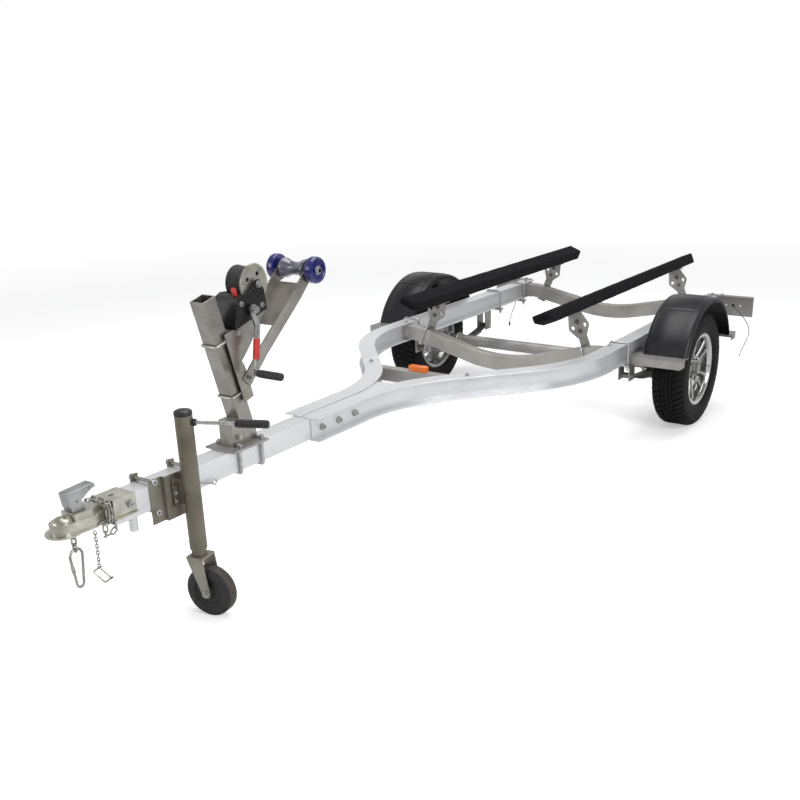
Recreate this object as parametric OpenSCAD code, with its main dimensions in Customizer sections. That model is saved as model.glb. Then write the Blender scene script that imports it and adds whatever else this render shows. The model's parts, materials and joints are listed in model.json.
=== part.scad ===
// Boat trailer: two S-bent aluminium rails on a square drawbar, one leaf-sprung axle,
// two dished cross members with tilted bunks, a leaning winch post and a swing-up jockey wheel.
// Millimetres. +X runs forward to the coupler, +Y to the left side, +Z up from the ground.

/* [Overall] */
// Distance from the axle to the centre of the towing ball
ball_reach = 3140; // [2700:10:3800]
// Distance from the axle to the rear ends of the rails
rear_overhang = 905; // [860:5:1300]
// Distance from the centre line to each rail, in the parallel part
rail_y = 590; // [480:5:720]

/* [Drawbar] */
// Outside width and height of the square drawbar tube
tube_w = 80; // [60:1:100]
// Wall of the drawbar tube
tube_wall = 4; // [3:0.5:6]
// Distance from the axle to the rear end of the drawbar
tube_rear_x = 1500; // [1400:10:1600]

/* [Rails] */
// Flange width of the I-beam rails
flange_w = 78; // [60:1:90]
// Flange thickness
flange_t = 6; // [4:0.5:8]
// Web thickness
web_t = 6; // [4:0.5:8]
// Distance from the axle to the front ends of the rails
rail_front_x = 2050; // [1900:10:2200]
// Distance from the axle to where the rails become parallel
rail_straight_x = 625; // [600:5:700]
// Radius of both bends, to the rail's web
bend_r = 650; // [500:10:700]
// Angle of the rails between the two bends
bend_angle = 41; // [36:1:45]

/* [Cross members] */
// Front-to-back width of the cross member boxes
cross_w = 50; // [40:1:60]
// Height of the cross member boxes
cross_h = 76; // [60:1:80]
// Front face of the front dished member, from the axle
front_cross_x = 530; // [480:5:570]
// Front face of the rear dished member, behind the axle
rear_cross_x = -800; // [-830:5:-700]
// Drop of the front dished member at its middle
front_dish = 100; // [60:5:150]
// Drop of the rear dished member at its middle
rear_dish = 85; // [60:5:150]
// Level length at each end of the dished members
level_end = 50; // [30:5:80]
// Radius of the dished members at their middle
belly_r = 800; // [500:10:900]
// Radius of the dished members at their shoulders
shoulder_r = 400; // [250:10:500]
// Front face of the neck member between the bends
neck_x = 1275; // [1200:5:1300]
// Front-to-back width of the neck member
neck_w = 45; // [30:1:60]
// Height of the neck member
neck_h = 60; // [40:1:76]

/* [Wheels] */
// Outside radius of the tyres
tyre_r = 286; // [270:1:330]
// Width of the tyres
tyre_w = 165; // [145:1:185]
// Distance from the centre line to the middle of each tyre
wheel_y = 775; // [760:5:900]
// Bead seat radius of the rims
rim_r = 165; // [150:1:185]
// Rim width
rim_w = 140; // [120:1:160]
// Number of spokes
spokes = 10; // [5:1:12]

/* [Axle and springs] */
// Radius of the round axle tube
axle_r = 30; // [25:1:35]
// Radius of the stub axle in the hub
stub_r = 17.5; // [15:0.5:20]
// Distance from the axle to each spring eye
spring_reach = 330; // [280:5:360]
// Height of the spring eyes above the middle of the spring
spring_rise = 48; // [30:1:60]
// Width of the spring leaves
leaf_w = 45; // [40:1:60]
// Thickness of one leaf
leaf_t = 6; // [5:0.5:8]
// Number of leaves
leaves = 4; // [3:1:5]
// Height of the spring eyes below the rails
hanger_drop = 88; // [70:1:110]

/* [Fenders] */
// Gap between the tyre and the fender
fender_gap = 70; // [30:1:80]
// Width of the fenders
fender_w = 220; // [200:1:250]
// Wall of the fenders
fender_t = 4; // [3:0.5:6]
// Height of the front fender steps above the axle
front_step_rise = 130; // [90:1:160]
// Height of the rear fender steps above the axle
rear_step_rise = 111; // [80:1:150]
// Front-to-back depth of the fender steps
step_depth = 112; // [90:1:130]

/* [Bunks] */
// Length of the bunks
bunk_len = 1890; // [1700:10:2400]
// Width of the bunks
bunk_w = 84; // [70:1:140]
// Thickness of the bunks
bunk_t = 58; // [40:1:70]
// Inward tilt of the bunks
bunk_tilt = 22; // [0:1:30]
// Distance from the centre line to the middle of each bunk
bunk_y = 377; // [330:1:450]
// Middle of the bunks, from the axle
bunk_x = -135; // [-250:5:0]
// Height of the middle of the bunks' undersides above the cross members
bunk_rise = 140; // [110:1:180]

/* [Winch post] */
// Outside width of the square post
post_w = 60; // [50:1:70]
// Wall of the post
post_wall = 4; // [3:0.5:6]
// Length of the post along its own line
post_len = 535; // [460:5:620]
// Forward lean of the post
post_lean = 15; // [5:1:20]
// Foot of the post, from the axle
post_x = 2353; // [2300:1:2400]
// Distance from the post to the bow roller, along the post's normal
roller_back = 430; // [380:5:480]
// Height of the bow roller along the post
roller_up = 440; // [380:5:470]
// Radius of the end discs of the bow roller
disc_r = 47; // [40:1:55]

/* [Winch] */
// Teeth of the drum gear
gear_teeth = 48; // [40:1:56]
// Teeth of the crank pinion
pinion_teeth = 16; // [15:1:18]
// Distance between the crank shaft and the drum shaft
gear_centres = 88; // [82:1:92]
// Length of the winch crank
crank_len = 211; // [160:1:230]

/* [Jockey wheel] */
// Distance from the axle to the jockey leg
jockey_x = 2725; // [2680:5:2780]
// Distance from the side of the drawbar to the jockey leg
jockey_y = 65; // [60:1:100]
// Outside radius of the jockey's outer tube
leg_outer_r = 28.5; // [25:0.5:32]
// Outside radius of the jockey's inner tube
leg_inner_r = 24; // [20:0.5:27]
// Radius of the jockey wheel
jockey_r = 86; // [70:1:95]
// Width of the jockey wheel
jockey_w = 52; // [40:1:60]
// Distance of the jockey wheel's axle from the leg's axis
jockey_trail = 34; // [20:1:40]
// Turn of the caster from straight out to the side
caster_turn = 10; // [0:1:20]

/* [Hidden] */
$fn = 48;
fit = 0.3;
running = 0.05;

axle_z = tyre_r;
leaf_top_z = axle_z - axle_r - fit;
eye_z = leaf_top_z - leaf_t / 2 + spring_rise;
rail_h = tube_w + 1 + 2 * flange_t;
rail_bottom = eye_z + hanger_drop;
rail_top = rail_bottom + rail_h;
rail_mid = rail_bottom + rail_h / 2;
tube_top = rail_mid + tube_w / 2;
tube_bottom = rail_mid - tube_w / 2;

neck_y = tube_w / 2 + web_t / 2;
bend_side = bend_r * (1 - cos(bend_angle));
bend_run = bend_r * sin(bend_angle);
slant_len = (rail_y - neck_y - 2 * bend_side) / sin(bend_angle);
slant_x = rail_straight_x + bend_run + slant_len * cos(bend_angle);
front_bend_x = slant_x + bend_run;

coupler_wall = 4;
tube_front_x = ball_reach - 158;
ball_r = 25;
dome_r = ball_r + 13;
nose_r = 54;
ball_z = rail_mid + 4;
lip_z = ball_z - 15.5;
sleeve_rear_x = tube_front_x - 82;
sleeve_half = tube_w / 2 + fit + coupler_wall;
coupler_top = tube_top + fit + coupler_wall;

wheel_inner_y = wheel_y - tyre_w / 2;
hub_face_y = wheel_y + 12;
axle_half = wheel_inner_y - 42;
stub_end_y = hub_face_y + 22;
hub_r = 38;
hub_flange_r = 64;
cap_r = 27;
fender_r = tyre_r + fender_gap;
fender_y = wheel_y - 2;
fender_inner_y = fender_y - fender_w / 2;
fender_outer_y = fender_y + fender_w / 2;

side_len = rail_y - web_t / 2;
front_cross_base = rail_mid + cross_h / 2;
bunk_under_z = front_cross_base + bunk_rise;
bar_w = 45;
bar_t = 6;

base_len = 175;
base_w = 136;
base_t = 8;
base_top = tube_top + fit + base_t;
foot_z = base_top;
arm_w = 45;
arm_t = 6;
arm_in_y = post_w / 2 + 14;
arm_out_y = 62;
shaft_half = arm_out_y + 48;
shelf_w = 404;
drum_x = -202;
drum_w = 500;
pinion_angle = 316;
gear_m = 2 * gear_centres / (gear_teeth + pinion_teeth);
crank_x = drum_x + gear_centres * cos(pinion_angle);
crank_w = drum_w + gear_centres * sin(pinion_angle);
crank_angle = -65;

leg_top_z = rail_mid + 254;
leg_y = tube_w / 2 + jockey_y;
crown_z = 2 * jockey_r + 34;
leg_low_z = crown_z + 28;
crown_t = 6;
fork_gap = jockey_w / 2 + 5.5;

rear_x = min(-rear_overhang - fit - 4, bunk_x - bunk_len / 2);
front_x = ball_reach + nose_r;
middle_x = (front_x + rear_x) / 2;

wire_y = 716;
wire_z = 430;
left_wire = [[-914, 716, 430], [-908, 716, 430], [-902, 716, 430], [-894, 718, 429], [-886, 731, 421],
    [-882, 743, 413], [-880, 756, 403], [-880, 769, 391], [-881, 782, 377], [-883, 794, 362],
    [-886, 805, 346], [-889, 814, 329], [-892, 820, 311], [-893, 822, 293], [-892, 821, 275],
    [-890, 817, 257], [-888, 812, 239], [-886, 806, 221], [-884, 800, 204], [-882, 794, 188],
    [-881, 789, 173], [-880, 785, 158], [-880, 783, 144]];
right_wire = [[-914, -716, 430], [-908, -716, 430], [-902, -716, 430], [-894, -714, 428], [-889, -709, 420],
    [-886, -702, 410], [-884, -694, 398], [-883, -687, 384], [-883, -681, 369], [-884, -678, 353],
    [-885, -678, 337], [-886, -681, 321], [-887, -686, 305], [-887, -692, 290], [-886, -698, 275],
    [-885, -704, 260], [-884, -709, 245], [-883, -713, 230], [-882, -716, 215], [-881, -718, 203]];
wire_r = 2;
wire_sides = 8;

// Everything is drawn from the axle, then moved so that the origin is the middle of the footprint.
module at_home() {
    translate([-middle_x, 0, 0]) children();
}

module left_and_right() {
    children();
    mirror([0, 1, 0]) children();
}

module box(low, high) {
    translate(low) cube([high[0] - low[0], high[1] - low[1], high[2] - low[2]]);
}

// A cylinder along +Y from y1 to y2
module rod_y(x, z, r, y1, y2) {
    translate([x, y1, z]) rotate([-90, 0, 0]) cylinder(r = r, h = y2 - y1);
}

// Lays an outline drawn as (Y, Z) along +X
module along_x(length) {
    rotate([90, 0, 90]) linear_extrude(length) children();
}

// Lays an outline drawn as (X, Z) along +Y
module along_y(length) {
    translate([0, length, 0]) rotate([90, 0, 0]) linear_extrude(length) children();
}

// ---- frame ----

function arc(x, y, r, from, to, steps = 20) = [for (i = [0:steps])
    let(a = from + (to - from) * i / steps) [x + r * cos(a), y + r * sin(a)]];
function backwards(pts) = [for (i = [len(pts) - 1:-1:0]) pts[i]];

// The rail's plan line, moved sideways by d away from the centre line
function rail_side(d) = concat([[rail_front_x, neck_y + d]],
    arc(front_bend_x, neck_y + bend_r, bend_r - d, 270, 270 - bend_angle),
    arc(rail_straight_x, rail_y - bend_r, bend_r + d, 90 - bend_angle, 90),
    [[-rear_overhang, rail_y + d]]);

module rail_strip(width) {
    polygon(concat(rail_side(width / 2), backwards(rail_side(-width / 2))));
}

module rail() {
    translate([0, 0, rail_bottom]) linear_extrude(flange_t) rail_strip(flange_w);
    translate([0, 0, rail_bottom + 1]) linear_extrude(rail_h - 2) rail_strip(web_t);
    translate([0, 0, rail_top - flange_t]) linear_extrude(flange_t) rail_strip(flange_w);
}

module rail_left() {
    at_home() color("gainsboro") rail();
}

module rail_right() {
    at_home() color("gainsboro") mirror([0, 1, 0]) rail();
}

// The square tube, with the short round socket of a parking prop welded under its front end
module drawbar() {
    socket_x = tube_front_x - 95;
    socket_r = 14;
    socket_len = 60;
    at_home() color("lightgray") {
        translate([tube_rear_x, 0, rail_mid]) along_x(tube_front_x - tube_rear_x) difference() {
            square(tube_w, center = true);
            square(tube_w - 2 * tube_wall, center = true);
        }
        translate([socket_x, 0, tube_bottom - socket_len]) difference() {
            cylinder(r = socket_r, h = socket_len + tube_wall / 2);
            translate([0, 0, -1]) cylinder(r = socket_r - 3, h = socket_len + 1);
        }
    }
}

// Half width between the rail webs on the slanted stretch
function neck_half(x) = neck_y + bend_side + (slant_x - x) * tan(bend_angle) - web_t / 2 / cos(bend_angle) - fit;

module neck_member() {
    at_home() color("tan") translate([0, 0, rail_mid - neck_h / 2]) linear_extrude(neck_h) {
        rear = neck_x - neck_w;
        polygon([[neck_x, -neck_half(neck_x)], [neck_x, neck_half(neck_x)],
            [rear, neck_half(rear)], [rear, -neck_half(rear)]]);
    }
}

module marker_lamp() {
    lamp_len = 88;
    lamp_w = 30;
    lamp_h = 26;
    low = rail_mid + neck_h / 2;
    at_home() color("orangered") translate([neck_x - 4 - lamp_w, -lamp_len / 2, low]) cube([lamp_w, lamp_len, lamp_h]);
}

// A dished line through level ends, shoulders, slopes and belly, moved up by d
dish_reach = side_len - level_end;
function radii_sum(dish) = min(belly_r + shoulder_r, 0.98 * (dish_reach * dish_reach + dish * dish) / (2 * dish));
function dish_slope(dish) = let(s = radii_sum(dish))
    asin(s / norm([dish_reach, s - dish])) - atan2(s - dish, dish_reach);
function dish_line(dish, d) = let(
    a = dish_slope(dish),
    belly = radii_sum(dish) * belly_r / (belly_r + shoulder_r),
    shoulder = radii_sum(dish) - belly) concat(
    [[side_len - fit, d]],
    arc(dish_reach, -shoulder, shoulder + d, 90, 90 + a, 10),
    arc(0, belly - dish, belly - d, 270 + a, 270 - a, 24),
    arc(-dish_reach, -shoulder, shoulder + d, 90 - a, 90, 10),
    [[fit - side_len, d]]);

module cross_member(front_face_x, dish) {
    color("silver") translate([front_face_x - cross_w, 0, rail_mid]) along_x(cross_w)
        polygon(concat(dish_line(dish, cross_h / 2), backwards(dish_line(dish, -cross_h / 2))));
}

module front_cross_member() {
    at_home() cross_member(front_cross_x, front_dish);
}

module rear_cross_member() {
    at_home() cross_member(rear_cross_x, rear_dish);
}

// ---- axle and springs ----

module axle_beam() {
    collar_y = axle_half - 95;
    at_home() color("dimgray") {
        rod_y(0, axle_z, axle_r, -axle_half, axle_half);
        left_and_right() {
            rod_y(0, axle_z, axle_r + 6, collar_y - 12, collar_y);
            rod_y(0, axle_z, stub_r + 8, axle_half, wheel_inner_y - 6);
            rod_y(0, axle_z, stub_r, wheel_inner_y - 6, stub_end_y);
        }
    }
}

// One leaf, as a stretch of a ring about a centre above the spring
module leaf(radius, reach) {
    sweep = 2 * asin(reach / radius);
    rotate([90, 0, 0]) rotate([0, 0, 270 - sweep / 2])
        rotate_extrude(angle = sweep, $fn = 360) translate([radius - 0.2, 0]) square([leaf_t + 0.2, leaf_w]);
}

module leaf_springs() {
    curve_r = (spring_reach * spring_reach + spring_rise * spring_rise) / (2 * spring_rise);
    at_home() color("dimgray") left_and_right() translate([0, rail_y + leaf_w / 2, 0]) {
        difference() {
            union() {
                for (i = [0:leaves - 1])
                    translate([0, 0, leaf_top_z - leaf_t / 2 + curve_r])
                        leaf(curve_r - leaf_t / 2 + i * leaf_t, spring_reach * (1 - 0.2 * i));
                for (side = [-1, 1])
                    translate([side * spring_reach, 0, eye_z]) rotate([90, 0, 0]) cylinder(r = 14, h = leaf_w);
            }
            for (side = [-1, 1])
                translate([side * spring_reach, 1, eye_z]) rotate([90, 0, 0]) cylinder(r = 7 + fit, h = leaf_w + 2);
        }
    }
}

module spring_hangers() {
    hanger_t = 5;
    gap = 2;
    at_home() color("gray") left_and_right() for (side = [-1, 1]) translate([side * spring_reach, rail_y, 0]) {
        for (ear = [-1, 1]) {
            inner = ear * (leaf_w / 2 + gap);
            outer = ear * (leaf_w / 2 + gap + hanger_t);
            box([-32, min(inner, outer), eye_z - 20], [32, max(inner, outer), rail_bottom - fit]);
        }
        box([-32, -leaf_w / 2 - gap, rail_bottom - fit - hanger_t], [32, leaf_w / 2 + gap, rail_bottom - fit]);
        rod_y(0, eye_z, 7, -leaf_w / 2 - gap - hanger_t - 8, leaf_w / 2 + gap + hanger_t + 8);
    }
}

module spring_plates() {
    plate_len = 110;
    plate_w = 76;
    plate_t = 8;
    top = leaf_top_z - leaves * leaf_t - fit;
    at_home() color("silver") left_and_right()
        box([-plate_len / 2, rail_y - plate_w / 2, top - plate_t], [plate_len / 2, rail_y + plate_w / 2, top]);
}

// ---- wheels ----

module hub() {
    bore_r = stub_r + running;
    difference() {
        union() {
            rod_y(0, axle_z, hub_r, wheel_inner_y, hub_face_y);
            rod_y(0, axle_z, hub_flange_r, hub_face_y - 10, hub_face_y);
            rod_y(0, axle_z, cap_r, hub_face_y, hub_face_y + 50);
        }
        rod_y(0, axle_z, bore_r, wheel_inner_y - 1, stub_end_y + 6);
    }
}

module hub_left() {
    at_home() color("silver") hub();
}

module hub_right() {
    at_home() color("silver") mirror([0, 1, 0]) hub();
}

module rim() {
    wall = 5;
    disc_t = 14;
    disc_y = hub_face_y + fit;
    low_y = wheel_y - rim_w / 2;
    high_y = wheel_y + rim_w / 2;
    boss_r = 68;
    translate([0, low_y, axle_z]) rotate([-90, 0, 0]) rotate_extrude($fn = 96) {
        translate([rim_r - wall, 0]) square([wall, rim_w]);
        translate([rim_r - wall, 0]) square([wall + 13, 4]);
        translate([rim_r - wall, rim_w - 4]) square([wall + 13, 4]);
    }
    difference() {
        union() {
            rod_y(0, axle_z, boss_r, disc_y, disc_y + disc_t);
            for (i = [0:spokes - 1]) translate([0, 0, axle_z]) rotate([0, i * 360 / spokes, 0])
                box([boss_r - 6, disc_y, -11], [rim_r - wall + 1, disc_y + disc_t, 11]);
        }
        rod_y(0, axle_z, cap_r + fit, disc_y - 1, disc_y + disc_t + 1);
    }
}

module rim_left() {
    at_home() color("silver") rim();
}

module rim_right() {
    at_home() color("silver") mirror([0, 1, 0]) rim();
}

// Rounded tyre section as (radius, width), with steps that clear the rim's lips
function tyre_corner(cr, cw, r, from, to) = [for (a = [from:15:to]) [cr + r * cos(a), cw + r * sin(a)]];

module tyre() {
    round_r = 38;
    bead = rim_r + fit;
    lip = rim_r + 13 + fit;
    lip_w = rim_w / 2 - 4 - fit;
    half = tyre_w / 2;
    translate([0, wheel_y, axle_z]) rotate([-90, 0, 0]) rotate_extrude($fn = 96)
        polygon(concat(
            [[bead, lip_w], [bead, -lip_w], [lip, -lip_w], [lip, -rim_w / 2], [lip + 20, -half]],
            tyre_corner(tyre_r - round_r, round_r - half, round_r, -90, 0),
            tyre_corner(tyre_r - round_r, half - round_r, round_r, 0, 90),
            [[lip + 20, half], [lip, rim_w / 2], [lip, lip_w]]));
}

module tyre_left() {
    at_home() color([0.08, 0.08, 0.08]) tyre();
}

module tyre_right() {
    at_home() color([0.08, 0.08, 0.08]) mirror([0, 1, 0]) tyre();
}

// ---- fenders ----

// Half of the fender's section as (radius, width), from its middle to its rolled lip and back
fender_lip = 24;
fender_round = 16;
fender_half = [[fender_r + fender_t, fender_w / 2 - fender_round], [fender_r - 1, fender_w / 2 - 5],
    [fender_r - fender_round + 4, fender_w / 2], [fender_r - fender_lip, fender_w / 2],
    [fender_r - fender_lip, fender_w / 2 - fender_t], [fender_r - fender_round + 3, fender_w / 2 - fender_t],
    [fender_r - 4, fender_w / 2 - fender_t - 4], [fender_r, fender_w / 2 - fender_round]];

// Swept a little too far and then cut level, so that each end stands flat on its step
module fender() {
    reach = fender_r + fender_t + 1;
    from = asin(front_step_rise / reach) - 1;
    to = 181 - asin(rear_step_rise / reach);
    difference() {
        translate([0, fender_y, axle_z]) rotate([90, 0, 0]) rotate([0, 0, from])
            rotate_extrude(angle = to - from, $fn = 120)
                polygon(concat(fender_half, backwards([for (p = fender_half) [p[0], -p[1]]])));
        box([0, fender_inner_y - 1, axle_z - 100], [reach, fender_outer_y + 1, axle_z + front_step_rise + fit]);
        box([-reach, fender_inner_y - 1, axle_z - 100], [0, fender_outer_y + 1, axle_z + rear_step_rise + fit]);
    }
}

module fender_left() {
    at_home() color([0.12, 0.12, 0.12]) fender();
}

module fender_right() {
    at_home() color([0.12, 0.12, 0.12]) mirror([0, 1, 0]) fender();
}

// A folded step: a flat top under the fender's end, with a lip along its free edge
module step(rise) {
    step_t = 4;
    lip_h = 36;
    inner = rail_y + flange_w / 2 + fit;
    near_x = sqrt(pow(fender_r - fender_lip, 2) - rise * rise) - 4;
    far_x = near_x + step_depth;
    top = axle_z + rise;
    difference() {
        union() {
            box([near_x, inner, top - step_t], [far_x, fender_outer_y, top]);
            box([far_x - step_t, inner, top - lip_h], [far_x, fender_outer_y, top]);
            box([near_x + 40, inner, top - lip_h], [far_x, inner + step_t, top]);
            box([near_x + 50, fender_outer_y - step_t, top - lip_h], [far_x, fender_outer_y, top]);
        }
        for (y = [fender_inner_y + 60, fender_outer_y - 60])
            translate([near_x + 78, y, top - 10]) cylinder(r = 6, h = 20);
    }
}

module front_steps() {
    at_home() color("silver") left_and_right() step(front_step_rise);
}

module rear_steps() {
    at_home() color("silver") left_and_right() mirror([1, 0, 0]) step(rear_step_rise);
}

// ---- lamp brackets and wires ----

module lamp_bracket() {
    plate_t = 4;
    inner = rail_y - 18;
    outer = 828;
    low = rail_top - 110;
    top = rail_top + fit + plate_t;
    rear = -rear_overhang - fit - plate_t;
    difference() {
        union() {
            box([rear, inner, low], [rear + plate_t, outer, top]);
            box([rear, inner, rail_top + fit], [-rear_overhang + 34, outer, top]);
        }
        for (y = [676, 756])
            translate([rear - 5, y, wire_z]) rotate([0, 90, 0]) cylinder(r = 4, h = 20);
        translate([rear - 5, wire_y, wire_z]) rotate([0, 90, 0]) cylinder(r = 6, h = 20);
        translate([-rear_overhang + 18, rail_y + 22, rail_top - 5]) cylinder(r = 5, h = 20);
    }
}

module grommets() {
    at_home() color("black") left_and_right() translate([-rear_overhang - fit - 4, wire_y, wire_z]) rotate([0, 90, 0])
        rotate_extrude()
            polygon([[2.3, -2], [8, -2], [8, -0.2], [5.8, -0.2], [5.8, 4.2], [8, 4.2], [8, 6], [2.3, 6]]);
}

module lamp_bracket_left() {
    at_home() color("tan") lamp_bracket();
}

module lamp_bracket_right() {
    at_home() color("tan") mirror([0, 1, 0]) lamp_bracket();
}

function unit(v) = v / norm(v);
function route_dir(pts, i) = unit(pts[min(i + 1, len(pts) - 1)] - pts[max(i - 1, 0)]);
function wire_ring(pts, i) = let(t = route_dir(pts, i), a = unit(cross(t, [1, 0.2, 0.1])), b = cross(t, a))
    [for (k = [0:wire_sides - 1]) pts[i] + wire_r * (a * cos(k * 360 / wire_sides) + b * sin(k * 360 / wire_sides))];

module wire(pts) {
    rings = len(pts);
    s = wire_sides;
    points = [for (i = [0:rings - 1]) each wire_ring(pts, i)];
    sides = [for (i = [0:rings - 2], k = [0:s - 1]) [i * s + k, i * s + (k + 1) % s, (i + 1) * s + (k + 1) % s, (i + 1) * s + k]];
    polyhedron(points, concat(sides, [[for (k = [0:s - 1]) s - 1 - k], [for (k = [0:s - 1]) (rings - 1) * s + k]]));
}

module wire_left() {
    at_home() color("black") wire(left_wire);
}

module wire_right() {
    at_home() color("black") wire(right_wire);
}

module wire_plug() {
    end = right_wire[len(right_wire) - 1];
    at_home() color("black") translate([end[0], end[1], end[2] - 27]) cylinder(r = 6, h = 26);
}

// ---- bunks ----

module tilted(x) {
    translate([x, bunk_y, bunk_under_z]) rotate([bunk_tilt, 0, 0]) children();
}

module bunk() {
    tilted(bunk_x) translate([-bunk_len / 2, -bunk_w / 2, 0]) cube([bunk_len, bunk_w, bunk_t]);
}

module bunk_left() {
    at_home() color([0.07, 0.07, 0.07]) bunk();
}

module bunk_right() {
    at_home() color([0.07, 0.07, 0.07]) mirror([0, 1, 0]) bunk();
}

// Flat bars on the rear faces of the cross members, leaning with the bunks, with a hole in each low tab
module bunk_bars() {
    bar_top = -36;
    bar_low = -265;
    at_home() color("tan") left_and_right() for (x = [front_cross_x, rear_cross_x])
        tilted(x - cross_w - fit - bar_t) difference() {
            box([0, -bar_w / 2, bar_low], [bar_t, bar_w / 2, bar_top]);
            translate([-1, 0, bar_low + 16]) rotate([0, 90, 0]) cylinder(r = 6, h = bar_t + 2);
        }
}

// Pressed heads in front of the bars, with two round ears and a flange under the bunk
module bunk_heads() {
    head_t = 6;
    flange_d = 50;
    ear_y = 32;
    ear_z = -66;
    ear_r = 22;
    at_home() color("tan") left_and_right() for (x = [front_cross_x, rear_cross_x]) tilted(x - cross_w) {
        difference() {
            rotate([90, 0, 90]) linear_extrude(head_t) {
                polygon([[-34, -fit], [34, -fit], [52, -57], [51, -77], [23, -118], [-23, -118], [-51, -77], [-52, -57]]);
                for (side = [-1, 1]) translate([side * ear_y, ear_z]) circle(r = ear_r);
            }
            for (side = [-1, 1]) translate([-1, side * ear_y, ear_z]) rotate([0, 90, 0]) cylinder(r = 9, h = head_t + 2);
        }
        box([head_t - flange_d, -34, -head_t - fit], [head_t, 34, -fit]);
    }
}

// ---- coupler ----

// Plan of the pressed head: neck, shoulders and round nose, grown sideways by d
module coupler_plan(d) {
    shoulder = ball_reach - 82;
    polygon([[tube_front_x + 4, -sleeve_half - d], [tube_front_x + 16, -34 - d], [tube_front_x + 54, -34 - d],
        [shoulder, -46 - d], [ball_reach, -dome_r - d], [ball_reach, dome_r + d], [shoulder, 46 + d],
        [tube_front_x + 54, 34 + d], [tube_front_x + 16, 34 + d], [tube_front_x + 4, sleeve_half + d]]);
    translate([ball_reach, 0]) circle(r = dome_r + d);
}

module coupler() {
    bore = tube_w / 2 + fit;
    sleeve_low = tube_bottom + 21;
    lip_t = 5;
    lip_out = nose_r - dome_r;
    at_home() color("silver") difference() {
        union() {
            box([sleeve_rear_x, -sleeve_half, sleeve_low], [tube_front_x + 5, sleeve_half, coupler_top]);
            left_and_right() box([sleeve_rear_x, bore + 1, sleeve_low], [tube_front_x + 5, sleeve_half + 8, sleeve_low + 5]);
            translate([0, 0, lip_z]) linear_extrude(lip_t) coupler_plan(lip_out / 2);
            translate([ball_reach, 0, lip_z]) cylinder(r = nose_r, h = lip_t);
            translate([0, 0, lip_z]) linear_extrude(36) coupler_plan(0);
            translate([0, 0, lip_z + 30]) linear_extrude(coupler_top - lip_z - 30) intersection() {
                coupler_plan(-9);
                translate([tube_front_x, -60]) square([ball_reach - 24 - tube_front_x, 120]);
            }
            translate([ball_reach, 0, ball_z]) sphere(r = dome_r);
        }
        box([sleeve_rear_x - 1, -bore, tube_bottom - 1], [tube_front_x + fit, bore, tube_top + fit]);
        box([ball_reach - 60, -dome_r - 1, ball_z - dome_r - 1], [ball_reach + dome_r + 1, dome_r + 1, lip_z]);
        box([tube_front_x + 25, -28, lip_z - 1], [ball_reach - 45, 28, ball_z + 12]);
        translate([ball_reach, 0, lip_z - 1]) cylinder(r = ball_r + 0.5, h = ball_z - lip_z + 1);
        translate([ball_reach, 0, ball_z]) sphere(r = ball_r + 0.5);
    }
}

// The latch lever: a channel on a short stem above the socket
module coupler_latch() {
    low = coupler_top + fit;
    half = 19;
    at_home() color("silver") translate([ball_reach, -half, low]) along_y(2 * half)
        polygon([[-74, 0], [-30, 0], [-22, 20], [-16, 64], [-116, 69], [-120, 57], [-96, 48], [-66, 30]]);
}

// A chain link hanging in the XZ plane, centred on the origin
module link(inner_l, wire, inner_w) {
    bend_c = inner_w / 2 + wire / 2;
    side_l = inner_l - inner_w;
    for (end = [0, 180]) translate([0, 0, (end == 0 ? 1 : -1) * side_l / 2]) rotate([90, 0, 0]) rotate([0, 0, end])
        rotate_extrude(angle = 180, $fn = 32) translate([bend_c, 0]) circle(r = wire / 2, $fn = 20);
    for (side = [-1, 1]) translate([side * bend_c, 0, -side_l / 2]) cylinder(r = wire / 2, h = side_l, $fn = 20);
}

// The safety chain hangs from the right side of the coupler's lip
chain_x = ball_reach - 60;
chain_y = -45;
chain_z = lip_z - 6.6;
chain_links = 4;
link_in = 22;
chain_pitch = link_in - 0.6;

module safety_chain() {
    link_wire = 6;
    link_gap = 9;
    at_home() color("silver") for (i = [0:chain_links - 1])
        translate([chain_x, chain_y, chain_z - (i + 0.5) * chain_pitch])
            rotate([0, 0, 90 * (i % 2)]) link(link_in, link_wire, link_gap);
}

module snap_hook() {
    hook_in = 118;
    hook_wire = 9;
    top = chain_z - chain_links * chain_pitch + 1;
    at_home() color("silver") translate([chain_x, chain_y, top - hook_in / 2]) link(hook_in, hook_wire, 38);
}

// ---- winch post ----

module winch_base() {
    at_home() color("silver") translate([post_x - 43, -base_w / 2, tube_top + fit]) cube([base_len, base_w, base_t]);
}

module post_frame() {
    translate([post_x, 0, foot_z]) rotate([0, post_lean, 0]) children();
}

module winch_post() {
    at_home() color("silver") difference() {
        post_frame() translate([-post_w / 2, -post_w / 2, -40]) cube([post_w, post_w, post_len + 40]);
        post_frame() translate([post_wall - post_w / 2, post_wall - post_w / 2, -60])
            cube([post_w - 2 * post_wall, post_w - 2 * post_wall, post_len + 80]);
        translate([post_x - 100, -100, foot_z - 100]) cube([200, 200, 100 + fit]);
    }
}

module post_brace() {
    brace_d = 40;
    brace_h = 92;
    front = post_x + post_w / 2 + brace_d + 26;
    at_home() color("silver") difference() {
        box([front - brace_d - 40, -post_w / 2, foot_z + fit], [front, post_w / 2, foot_z + brace_h]);
        post_frame() translate([-400, -200, -100]) cube([400 + post_w / 2 + fit, 400, 500]);
        box([front - brace_d - 60, 4 - post_w / 2, foot_z - 1], [front - 4, post_w / 2 - 4, foot_z + brace_h - 4]);
    }
}

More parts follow.
